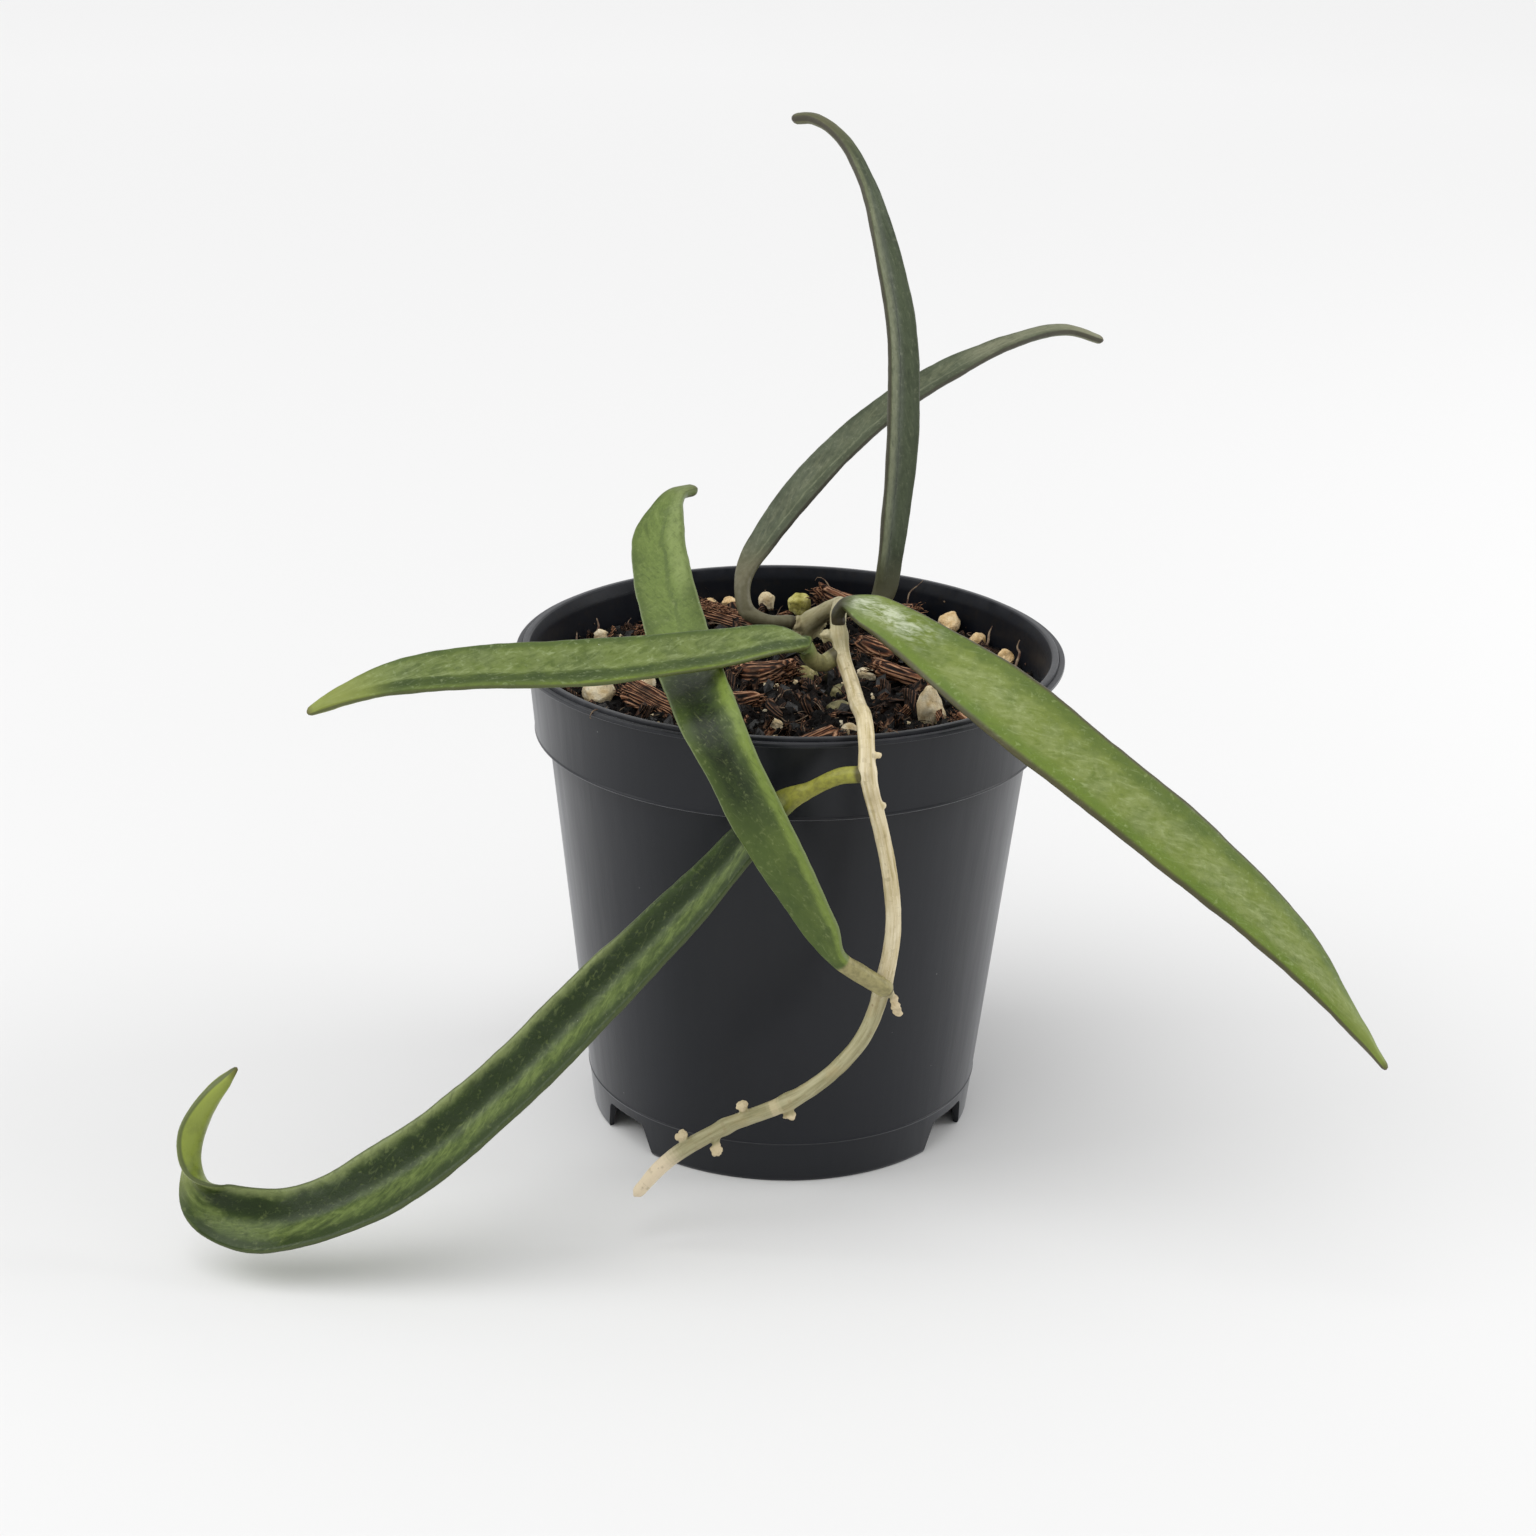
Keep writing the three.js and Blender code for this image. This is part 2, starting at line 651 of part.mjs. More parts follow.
const CHIPS = [
  { at: [-24.6, -13.4, 85.6], size: [12, 7, 2], turn: -25, tilt: 14 },
  { at: [-4.4, 3.6, 85.8], size: [11, 6, 2.2], turn: -35, tilt: -12 },
  { at: [22, 2.6, 85.8], size: [13, 5, 1.8], turn: 18, tilt: 16 },
  { at: [-12.6, 36.4, 86.2], size: [12, 4.5, 1.8], turn: -22, tilt: 8 },
  { at: [9.4, 40.4, 88], size: [9, 4, 2.6], turn: 22, tilt: 20 },
  { at: [21.4, 37, 86.8], size: [6, 4.4, 2], turn: -20, tilt: -12 },
  { at: [-18.4, 12, 85.6], size: [8, 5, 2], turn: 40, tilt: 12 },
  { at: [-9.6, -11, 85.2], size: [9, 3.4, 1.6], turn: -26, tilt: -8 },
  { at: [18, 17.4, 85.6], size: [8, 5, 1.8], turn: -14, tilt: 12 },
  { at: [4.4, -33, 85.4], size: [10, 5.4, 2], turn: 30, tilt: -8 },
  { at: [-26, 26, 85.4], size: [9, 5, 2], turn: 62, tilt: 10 },
  { at: [34, -22, 85.2], size: [8, 4.6, 1.8], turn: -50, tilt: 8 },
];

// A closed surface without its seams, so that shared corners move together.
function seamless(geometry) {
  return mergeVertices(geometry.deleteAttribute("normal").deleteAttribute("uv"));
}

// A rounded stone with a lumpy surface.
function stoneGeometry(stone, seed) {
  const draw = seeded(seed);
  const lumps = Array.from({ length: 5 }, () => ({
    way: new THREE.Vector3(draw() - 0.5, draw() - 0.5, draw() - 0.5).normalize(),
    rise: 0.3 * (draw() - 0.45),
  }));
  const geometry = seamless(new THREE.IcosahedronGeometry(1, 1));
  const spots = geometry.attributes.position;
  const spot = new THREE.Vector3();
  for (let index = 0; index < spots.count; index += 1) {
    spot.fromBufferAttribute(spots, index);
    const lump = lumps.reduce((sum, { way, rise }) => sum + rise * Math.max(0, way.dot(spot)) ** 2, 1);
    spot.multiplyScalar(lump).multiply(vector(stone.size));
    spots.setXYZ(index, spot.x, spot.y, spot.z);
  }
  geometry.rotateZ(draw() * Math.PI);
  return geometry.translate(...stone.at);
}

// A bark chip: a slab of fibres, curled across its width, narrow and ragged towards one end.
function chipGeometry(chip, seed) {
  const draw = seeded(seed);
  const [length, width, height] = chip.size;
  const geometry = seamless(new THREE.BoxGeometry(length, width, height, 5, 3, 1));
  const spots = geometry.attributes.position;
  for (let index = 0; index < spots.count; index += 1) {
    const [x, y, z] = [spots.getX(index), spots.getY(index), spots.getZ(index)];
    const end = Math.abs(2 * x) / length;
    const narrow = 1 - CHIP.narrow[x > 0 ? 0 : 1] * end * end;
    const curl = CHIP.curlAcross * y * y - CHIP.curlAlong * x * x;
    const ragged = end > 0.9 ? CHIP.ragged * Math.sin(3 * y + seed) : 0;
    spots.setXYZ(index, x + ragged, y * narrow, z - curl);
  }
  geometry.rotateY(THREE.MathUtils.degToRad(chip.tilt));
  geometry.rotateX(0.3 * (draw() - 0.5));
  geometry.rotateZ(THREE.MathUtils.degToRad(chip.turn));
  return geometry.translate(...chip.at);
}

// The same surface moved outwards, to cut a seat that leaves a gap.
function swollen(geometry, by) {
  const larger = geometry.clone();
  larger.computeVertexNormals();
  const spots = larger.attributes.position;
  const normals = larger.attributes.normal;
  for (let index = 0; index < spots.count; index += 1) {
    const spot = new THREE.Vector3().fromBufferAttribute(spots, index);
    spot.addScaledVector(new THREE.Vector3().fromBufferAttribute(normals, index), by);
    spots.setXYZ(index, spot.x, spot.y, spot.z);
  }
  return larger;
}

// Radius of the pot's inside at a height above its floor.
function innerRadius(height) {
  const rows = potProfile().slice(-7, -1);
  for (let row = 0; row < rows.length - 1; row += 1) {
    const [above, below] = [rows[row], rows[row + 1]];
    if (height <= above.y && height >= below.y) {
      return THREE.MathUtils.mapLinear(height, below.y, above.y, below.x, above.x);
    }
  }
  return rows.at(-1).x;
}

// The potting mix: it fills the pot, with a rough top, a hole for the vine and a seat for each piece.
function soilGeometry(pieces) {
  const draw = seeded(SOIL.seed);
  const floorTop = POT.floorHeight + POT.floorThickness;
  const heights = [
    floorTop + GAP,
    floorTop + POT.wall + GAP,
    POT.bandFootHeight - POT.wall - GAP,
    POT.bandFootHeight + POT.wall + GAP,
    SOIL.edgeHeight,
  ];
  const circle = (radius, height) =>
    Array.from({ length: SOIL.segments }, (_, side) => {
      const angle = (side / SOIL.segments) * 2 * Math.PI;
      return new THREE.Vector3(radius * Math.cos(angle), radius * Math.sin(angle), height());
    });
  const rings = heights.map((height, index) =>
    circle(innerRadius(height) - (index === 0 ? POT.wall : 1.3 * GAP), () => height),
  );
  for (let index = SOIL.rings; index > 0; index -= 1) {
    const share = index / (SOIL.rings + 1);
    const crown = SOIL.edgeHeight + SOIL.crown * (1 - share * share);
    rings.push(circle(share * innerRadius(SOIL.edgeHeight), () => crown + SOIL.relief * (2 * draw() - 1)));
  }
  const bottom = new THREE.Vector3(0, 0, heights[0]);
  const top = new THREE.Vector3(0, 0, SOIL.edgeHeight + SOIL.crown);
  let soil = solidOf(loft(rings, bottom, top));
  for (const piece of pieces) soil = soil.subtract(piece);
  const holeRadius = VINE.radius[1] + GAP;
  const hole = new THREE.CylinderGeometry(holeRadius, holeRadius, HOLE.depth, HOLE.sides);
  hole.rotateX(Math.PI / 2);
  hole.translate(...VINE.line[0]);
  hole.translate(0, 0, HOLE.depth / 2 - GAP);
  return largestBody(soil.subtract(solidOf(hole)));
}

// Cutting can leave scraps of a crust, so the one large body is kept.
function largestBody(solid) {
  return solid.decompose().reduce((best, body) => (body.volume() > best.volume() ? body : best));
}

// Assembly
const hoya = new THREE.Group();

function place(name, geometry, skin) {
  const mesh = new THREE.Mesh(geometry, MATERIALS[skin]);
  mesh.name = name;
  hoya.add(mesh);
}

place("pot", potGeometry(), "potPlastic");
place("vine", geometryOf(vineGeometry()), "vineSkin");
for (const leaf of LEAVES) place(leaf.name, leafGeometry(leaf, collarEnd(leaf, GAP)), leaf.skin);

const pockets = [];
const counts = { pumice: 0, gravel: 0, bark: 0 };
function numbered(kind) {
  counts[kind] += 1;
  return `${kind}_${String(counts[kind]).padStart(2, "0")}`;
}
function seat(kind, geometry) {
  place(numbered(kind), geometry, kind);
  pockets.push(solidOf(swollen(geometry, 1.5 * GAP)));
}
STONES.forEach((stone, index) => seat(stone.kind, stoneGeometry(stone, STONE_SEED + index)));
CHIPS.forEach((chip, index) => seat("bark", chipGeometry(chip, CHIP_SEED + index)));
place("soil", geometryOf(soilGeometry(pockets)), "peat");

export default hoya;
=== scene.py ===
import math
from functools import partial

import bmesh
import bpy
import numpy as np
from mathutils import Matrix, Vector, noise


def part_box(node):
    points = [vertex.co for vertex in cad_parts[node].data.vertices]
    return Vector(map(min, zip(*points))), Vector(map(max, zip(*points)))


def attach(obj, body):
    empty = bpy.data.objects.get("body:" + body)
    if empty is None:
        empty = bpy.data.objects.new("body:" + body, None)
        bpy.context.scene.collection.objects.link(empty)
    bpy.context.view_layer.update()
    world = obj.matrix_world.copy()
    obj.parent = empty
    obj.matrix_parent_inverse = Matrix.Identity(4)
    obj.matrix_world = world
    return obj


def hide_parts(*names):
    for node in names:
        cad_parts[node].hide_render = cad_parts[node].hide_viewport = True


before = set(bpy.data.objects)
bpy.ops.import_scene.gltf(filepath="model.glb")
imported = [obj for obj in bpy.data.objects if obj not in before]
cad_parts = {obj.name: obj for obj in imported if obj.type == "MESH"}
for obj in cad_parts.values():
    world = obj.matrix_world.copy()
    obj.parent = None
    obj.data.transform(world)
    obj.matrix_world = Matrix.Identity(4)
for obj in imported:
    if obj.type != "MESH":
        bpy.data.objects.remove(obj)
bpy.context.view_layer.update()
mm = 0.001


# sRGB hex to the linear colour that the shaders take.
def linear(hexColour):
    parts = [int(hexColour[i:i + 2], 16) / 255 for i in (1, 3, 5)]
    return [p / 12.92 if p <= 0.04045 else ((p + 0.055) / 1.055) ** 2.4 for p in parts] + [1.0]


# Sets or links the inputs of a node, by number or name. Outputs given whole stand for the first.
def fillInputs(tree, node, values):
    for socket, value in values.items():
        if isinstance(value, bpy.types.bpy_prop_collection):
            value = value[0]
        if isinstance(value, bpy.types.NodeSocket):
            tree.links.new(value, node.inputs[socket])
        else:
            node.inputs[socket].default_value = value


modeSettings = {"MapRange": "interpolation_type", "Mix": "data_type"}   # others have an operation


# Adds one node and gives back its outputs. The kind may end in its mode, as in "Math ADD". Values
# fill the inputs in turn, and a dictionary those that it names. Stops are those of a colour ramp.
def addNode(tree, kind, *values, stops=(), **settings):
    kind, _, mode = kind.partition(" ")
    node = tree.nodes.new(kind if "Node" in kind else "ShaderNode" + kind)
    if mode:
        settings[modeSettings.get(kind, "operation")] = mode
    for name, value in settings.items():
        setattr(node, name, value)
    for place, value in enumerate(values):
        fillInputs(tree, node, value if isinstance(value, dict) else {place: value})
    for index, (place, colour) in enumerate(stops):
        ramp = node.color_ramp.elements
        element = ramp[index] if index < 2 else ramp.new(place)
        element.position, element.color = place, linear(colour)
    return node.outputs


# A material with only a Principled shader, what adds a node to it and what fills the shader.
def newMaterial(name):
    material = bpy.data.materials.new(name)
    material.use_nodes = True
    tree = material.node_tree
    tree.nodes.clear()
    shader = tree.nodes.new("ShaderNodeBsdfPrincipled")
    output = tree.nodes.new("ShaderNodeOutputMaterial")
    tree.links.new(shader.outputs[0], output.inputs["Surface"])
    return material, partial(addNode, tree), partial(fillInputs, tree, shader)


# Lays colours over a base in turn, each through its mask. A colour is a hex value or a link.
def layered(node, base, *layers):
    for mask, colour in layers:
        under, over = (linear(c) if isinstance(c, str) else c for c in (base, colour))
        base = node("Mix RGBA", mask, {6: under, 7: over})[2]
    return base


def objectMillimetres(node):
    return node("Mapping", node("TexCoord")["Object"], {"Scale": (1000, 1000, 1000)})


# A mask of small round spots: one in each cell of that size, in the given share of the cells.
def spotMask(node, coordinates, size, radius, share):
    spots = node("TexVoronoi", coordinates, {"Scale": 1 / size})
    chosen = node("Math GREATER_THAN", node("SeparateColor", spots["Color"]), 1 - share)
    near = node("MapRange", spots["Distance"], radius / size, 0.6 * radius / size)
    return node("Math MULTIPLY", chosen, near)


def addObject(name, data):
    added = bpy.data.objects.new(name, data)
    bpy.context.scene.collection.objects.link(added)
    return added


# A mesh object from numpy points in millimetres and its faces.
def newPiece(name, points, faces, material):
    mesh = bpy.data.meshes.new(name)
    mesh.from_pydata([tuple(p) for p in np.asarray(points, float) * mm], [], faces)
    mesh.materials.append(material)
    mesh.shade_smooth()
    return addObject(name, mesh)


def pieceFrom(shape, name, material):
    piece = newPiece(name, [], [], material)
    shape.to_mesh(piece.data)
    shape.free()
    return piece


# Turns the faces outwards. A CAD node's loose triangles are merged first.
def faceOutwards(piece, merge=False):
    shape = bmesh.new()
    shape.from_mesh(piece.data)
    if merge:
        bmesh.ops.remove_doubles(shape, verts=shape.verts, dist=1e-6)
        bmesh.ops.join_triangles(shape, faces=shape.faces, angle_face_threshold=0.35,
                                 angle_shape_threshold=0.6)
    bmesh.ops.recalc_face_normals(shape, faces=shape.faces)
    shape.to_mesh(piece.data)
    shape.free()


def readRows(piece, field):
    flat = np.zeros(len(piece.data.vertices) * 3, np.float32)
    piece.data.vertices.foreach_get(field, flat)
    return flat.reshape(-1, 3).astype(float)


def readPoints(piece):
    return readRows(piece, "co") / mm


def writePoints(piece, points):
    piece.data.vertices.foreach_set("co", (np.asarray(points) * mm).astype(np.float32).ravel())
    piece.data.update()


# Moves each point along its normal by its own number of millimetres.
def puffOut(piece, points, rise):
    writePoints(piece, points + readRows(piece, "normal") * rise[:, None])


# Marks how thickly each point of a surface is strewn.
def markArea(piece, area):
    layer = piece.data.attributes.new("scatterArea", "FLOAT", "POINT")
    layer.data.foreach_set("value", np.asarray(area, np.float32))


def addVectors(piece, name, rows):
    layer = piece.data.attributes.new(name, "FLOAT_VECTOR", "POINT")
    layer.data.foreach_set("vector", np.asarray(rows, np.float32).ravel())


# Turns a piece with modifiers into the plain mesh that they give.
def settle(piece):
    graph = bpy.context.evaluated_depsgraph_get()
    mesh = bpy.data.meshes.new_from_object(piece.evaluated_get(graph), depsgraph=graph)
    piece.modifiers.clear()
    piece.data = mesh
    return piece


def finishPiece(piece, slot, *nodes):
    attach(piece, "root")
    if nodes:
        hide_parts(*nodes)
    return piece


# Smooth noise between -1 and 1 at points in millimetres, with features of that size.
def noiseAt(points, size, octaves=3, shift=0.0):
    spots = np.asarray(points, float) / size + shift
    return np.array([noise.fractal(Vector(p), 1.0, 2.0, octaves, noise_basis="PERLIN_ORIGINAL")
                     for p in spots])


def smoothStep(low, high, value):
    share = np.clip((value - low) / (high - low), 0, 1)
    return share * share * (3 - 2 * share)


# Points on a smooth curve through the given rows. Spots run from 0 to 1 over the whole list, and
# knots 0.25 gives the centripetal curve that the solids follow, 0 the even one for plain numbers.
def smoothRow(rows, spots, knots=0.25):
    rows = np.asarray(rows, float)
    if knots:
        padded = np.vstack([2 * rows[0] - rows[1], rows, 2 * rows[-1] - rows[-2]])
    else:
        padded = np.vstack([rows[0], rows, rows[-1]])
    place = np.clip(spots, 0, 1) * (len(rows) - 1)
    index = np.minimum(place.astype(int), len(rows) - 2)
    share = (place - index)[:, None]
    before, start, end, after = (padded[index + step] for step in range(4))
    spans = [np.sum((b - a) ** 2, axis=1)[:, None] ** knots
             for a, b in ((before, start), (start, end), (end, after))]
    middle = np.where(spans[1] < 1e-4, 1.0, spans[1])
    first, last = (np.where(span < 1e-4, middle, span) for span in (spans[0], spans[2]))
    leave = ((start - before) / first - (end - before) / (first + middle)) * middle + end - start
    reach = end - start - ((after - start) / (middle + last) - (after - end) / last) * middle
    curve = 2 * start - 2 * end + leave + reach
    bend = 3 * end - 3 * start - 2 * leave - reach
    return start + share * (leave + share * (bend + share * curve))


# Even steps along a curve through points: where each lies in the list, from 0 to 1, and the length.
def evenSpots(points, shares):
    spots = np.linspace(0, 1, 801)
    steps = np.linalg.norm(np.diff(smoothRow(points, spots), axis=0), axis=1)
    run = np.concatenate([[0], np.cumsum(steps)])
    return np.interp(np.asarray(shares) * run[-1], run, spots), run[-1]


def unit(rows):
    return rows / np.linalg.norm(rows, axis=-1, keepdims=True)


# Stations along a curve: where they lie in its list, their points and ways, and its length.
def walkLine(line, shares, nudge=1e-4):
    spots, length = evenSpots(line, shares)
    along = unit(smoothRow(line, spots + nudge) - smoothRow(line, spots - nudge))
    return spots, smoothRow(line, spots), along, length


# A plain number for each station, from the list that goes with the line.
def smoothNumbers(row, spots):
    return smoothRow(np.array(row)[:, None], spots, 0)[:, 0]


def roundTurns(count):
    turns = np.arange(count) / count * 2 * math.pi
    return np.cos(turns), np.sin(turns)


# Faces of a skin over rings of points, with a middle point at each end.
def skinFaces(ringCount, sides):
    last = ringCount * sides + 1
    faces = []
    for side in range(sides):
        after = (side + 1) % sides
        faces.append((0, 1 + after, 1 + side))
        faces.append((last, last - sides + side, last - sides + after))
        for ring in range(ringCount - 1):
            a, b = 1 + ring * sides + side, 1 + ring * sides + after
            faces.append((a, b, b + sides, a + sides))
    return faces


def skinPoints(rings, firstTip, lastTip):
    return np.vstack([firstTip, np.concatenate(rings), lastTip])


# The skins of several bodies, each with its rings and two tips, as one set of points and faces.
def joinSkins(bodies):
    points, faces = [], []
    for rings, first, last in bodies:
        base = sum(len(block) for block in points)
        points.append(skinPoints(rings, first, last))
        faces += [tuple(corner + base for corner in face)
                  for face in skinFaces(len(rings), len(rings[0]))]
    return np.vstack(points), faces


# The camera stands where the photograph's did: a long lens, looking down by about 21 degrees.
cameraView = {"place": (0, -0.52928, 0.27290), "turn": -0.0070, "down": 0.3690, "roll": 0.0210,
              "lens": 70.3125}


def placeCamera():
    view = cameraView
    turn, down, roll = view["turn"], view["down"], view["roll"]
    ahead = Vector((math.sin(turn) * math.cos(down), math.cos(turn) * math.cos(down),
                    -math.sin(down)))
    side = ahead.cross(Vector((0, 0, 1))).normalized()
    top = side.cross(ahead)
    right = side * math.cos(roll) + top * math.sin(roll)
    up = top * math.cos(roll) - side * math.sin(roll)
    data = bpy.data.cameras.new("camera")
    data.lens = view["lens"]
    data.clip_start, data.clip_end = 0.01, 50
    camera = addObject("camera", data)
    turned = Matrix((right, up, -ahead)).transposed().to_4x4()
    camera.matrix_world = Matrix.Translation(view["place"]) @ turned
    bpy.context.scene.camera = camera


placeCamera()
print("camera placed")


# Studio: a white tent of light, wide soft boxes left and right that give the pot its sheens, one
# overhead, and a pale floor.
studio = {
    "tent": 0.66,
    "floor": ("#e0e0e0", "#f0f0f0"),   # near the pot, painted darker there as painted shade against the soft boxes' light, and far off
    "floorShadeFade": (0.25, 1.4),          # metres from the pot over which the painted shade fades
    "floorSize": 30.0,
    # place, aimed at, size in metres, power in watts
    "boxes": [((-0.95, -0.2, 0.5), (0, 0, 0.05), (0.6, 1.0), 3.8),
              ((0.95, 0.1, 0.45), (0, 0, 0.05), (0.5, 0.9), 4.4)],
    "overhead": (16, 20, 55, 1.25),   # tilt forwards and sideways and breadth in degrees, strength
}


def lightStudio():
    scene = bpy.context.scene
    world = bpy.data.worlds.new("tent")
    scene.world = world
    world.use_nodes = True
    tent = world.node_tree.nodes["Background"]
    tent.inputs["Color"].default_value = (1, 1, 1, 1)
    tent.inputs["Strength"].default_value = studio["tent"]
    for index, (place, target, size, power) in enumerate(studio["boxes"]):
        data = bpy.data.lights.new(f"softbox_{index + 1}", "AREA")
        data.shape = "RECTANGLE"
        data.size, data.size_y = size
        data.energy = power
        box = addObject(data.name, data)
        box.location = place
        box.rotation_euler = (Vector(target) - Vector(place)).to_track_quat("-Z", "Y").to_euler()
    forwards, sideways, breadth, strength = studio["overhead"]
    data = bpy.data.lights.new("overhead", "SUN")
    data.angle, data.energy = math.radians(breadth), strength
    overhead = addObject("overhead", data)
    overhead.rotation_euler = (math.radians(forwards), math.radians(-sideways), 0)
    material, node, fill = newMaterial("floorPaper")
    near, far = studio["floor"]
    # the floor is painted darker near the pot: a painted shade that evens out the soft boxes' pool
    # of light
    away = node("VectorMath LENGTH", node("TexCoord")["Object"])["Value"]
    fade = node("MapRange", away, *studio["floorShadeFade"])
    fill({"Base Color": layered(node, near, (fade, far)), "Roughness": 0.9})
    half = studio["floorSize"] / 2 / mm
    floor = newPiece("floor", [(-half, -half, 0), (half, -half, 0), (half, half, 0),
                               (-half, half, 0)], [(0, 1, 2, 3)], material)
    scene.view_settings.view_transform = "Standard"
    scene.view_settings.look = "None"


lightStudio()
print("studio lit")


# The pot: moulded polypropylene, a satin charcoal black that carries soft grey sheens.
pot = {
    "height": 93, "lipRadius": 51, "lipInnerRadius": 48.5, "lipLedge": 1.1, "lipDrop": 0.6,
    "lipThickness": 1.5, "bandTopRadius": 48.9, "bandFootRadius": 47.5, "bandFootHeight": 76.7,
    "bodyTopRadius": 45, "seamHeight": 8.4, "seamRadius": 37.7, "footRadius": 36.6, "wall": 1.2,
    "floorHeight": 7, "floorThickness": 1.5, "edge": 0.3, "segments": 224, "sharpAngle": 32,
    "notchAngles": (-142, -30, 38, 150), "notchWidth": 13, "notchHeight": 6.3, "notchReach": 6,
    "drainCount": 6, "drainRing": 24, "drainRadius": 3,
}


# Radius and height of each corner of the pot's wall, and how far its rounding reaches.
def potCorners():
    p = pot
    edge, wall, top, floor = p["edge"], p["wall"], p["height"], p["floorHeight"]
    foot, seam, seamHeight = p["footRadius"], p["seamRadius"], p["seamHeight"]
    body, lip, inner = p["bodyTopRadius"], p["lipRadius"], p["lipInnerRadius"]
    bandFoot, bandHeight, band = p["bandFootRadius"], p["bandFootHeight"], p["bandTopRadius"]
    ledge, under, ring = top - p["lipDrop"], top - p["lipThickness"], lip - p["lipLedge"]
    floorTop = floor + p["floorThickness"]
    return [
        (0, floor, 0),
        (foot - wall + edge, floor, 0.3),
        (foot - wall, 0, 0.2),
        (foot - edge, 0, 0.2),
        (foot, 2 * edge, 0.2),
        (seam - 0.7 * edge, seamHeight - edge, 0.12),
        (seam, seamHeight, 0.12),
        (seam - edge / 2, seamHeight + edge, 0.12),
        (body, bandHeight - 2 * edge, 0.3),
        (body + 2 * edge, bandHeight, 0.3),
        (bandFoot - edge, bandHeight, 0.2),
        (bandFoot + 0.14, bandHeight + 0.3, 0.2),
        (bandFoot + 0.14, bandHeight + 0.62, 0.15),
        (bandFoot + 0.04, bandHeight + 0.8, 0.1),
        (band, under, 0.25),
        (lip, under + edge / 3, 0.25),
        (lip, ledge, 0.25),
        (ring + 0.12, ledge - 0.05, 0.06),
        (ring + 0.02, ledge - 0.28, 0.06),
        (ring - 0.1, ledge - 0.05, 0.06),
        (ring - edge / 3, top, 0.22),
        (inner + edge, top, 0.2),
        (inner, top - edge, 0.2),
        (band - wall, under - wall / 2, 0.5),
        (bandFoot - wall, bandHeight + wall, 0.5),
        (body - wall, bandHeight - wall, 0.5),
        (seam - wall, floorTop + wall, 0.5),
        (seam - 2 * wall, floorTop, 0.5),
        (0, floorTop, 0),
    ]


# The same outline with each corner turned into a short arc.
def roundedOutline(corners, steps=4):
    outline = [corners[0][:2]]
    for before, corner, after in zip(corners, corners[1:], corners[2:]):
        here = np.array(corner[:2])
        ways = [np.array(other[:2]) - here for other in (before, after)]
        reach = [min(corner[2], 0.45 * np.linalg.norm(way)) for way in ways]
        start, end = (here + way / np.linalg.norm(way) * r for way, r in zip(ways, reach))
        for share in np.linspace(0, 1, steps):
            near = (1 - share) ** 2 * start + 2 * share * (1 - share) * here
            outline.append(near + share ** 2 * end)
    return outline + [corners[-1][:2]]


def potPlastic():
    material, node, fill = newMaterial("mouldedPolypropyleneSatin")
    millimetres = objectMillimetres(node)
    # flow marks of the moulding run up the wall, so the streaks are stretched along Z
    streaks = node("TexNoise", node("Mapping", millimetres, {"Scale": (0.45, 0.45, 0.02)}),
                   {"Scale": 1.0, "Detail": 4.0})
    cloud = node("TexNoise", millimetres, {"Scale": 0.05, "Detail": 3.0})
    tone = layered(node, "#090c12", (cloud, "#11141c"))
    heights = node("SeparateXYZ", millimetres)
    radius = node("VectorMath LENGTH", node("CombineXYZ", heights[0], heights[1]))["Value"]
    # the lip is greyer in streaks, up to its ledge
    lip = node("MapRange", heights[2], 91.2, 92.6)
    lipGreying = node("Math MULTIPLY", lip, node("MapRange", streaks, 0.35, 0.75, 0, 0.5))
    tone = layered(node, tone, (lipGreying, "#2e2f34"))
    # splashed soil on the inside of the wall, thicker near the mix
    inside = node("Math LESS_THAN", radius, node("MapRange", heights[2], 70, 93, 45.4, 48.6))
    inside = node("Math MULTIPLY", inside, node("Math GREATER_THAN", heights[2], 80.0))
    splash = node("MapRange", node("TexNoise", millimetres, {"Scale": 0.6, "Detail": 5.0}), 0.52,
                  0.74, 0, 0.5)
    tone = layered(node, tone, (node("Math MULTIPLY", inside, splash), "#1d1916"))
    dust = spotMask(node, millimetres, 4.2, 0.16, 0.35)
    tone = layered(node, tone, (node("Math MULTIPLY", dust, 0.45), "#8a8a88"))
    grain = node("TexNoise", millimetres, {"Scale": 3.0, "Detail": 2.0})
    relief = node("Math ADD", streaks, node("Math MULTIPLY", grain, 0.3))
    fill({
        "Base Color": tone,
        "Roughness": node("MapRange", streaks, 0.3, 0.7, 0.34, 0.43),
        "IOR": 1.49,
        # the inside is damp and matt
        "Specular IOR Level": node("MapRange", inside, 0, 1, 0.33, 0.16),
        # a fine bloom of dust lifts the sides of the pot, where they turn away
        "Sheen Weight": node("MapRange", inside, 0, 1, 0.37, 0.06),
        "Sheen Tint": linear("#f3f4f8"),
        "Sheen Roughness": 0.38,
        "Normal": node("Bump", {"Height": relief, "Strength": 0.25, "Distance": 0.00012}),
    })
    return material


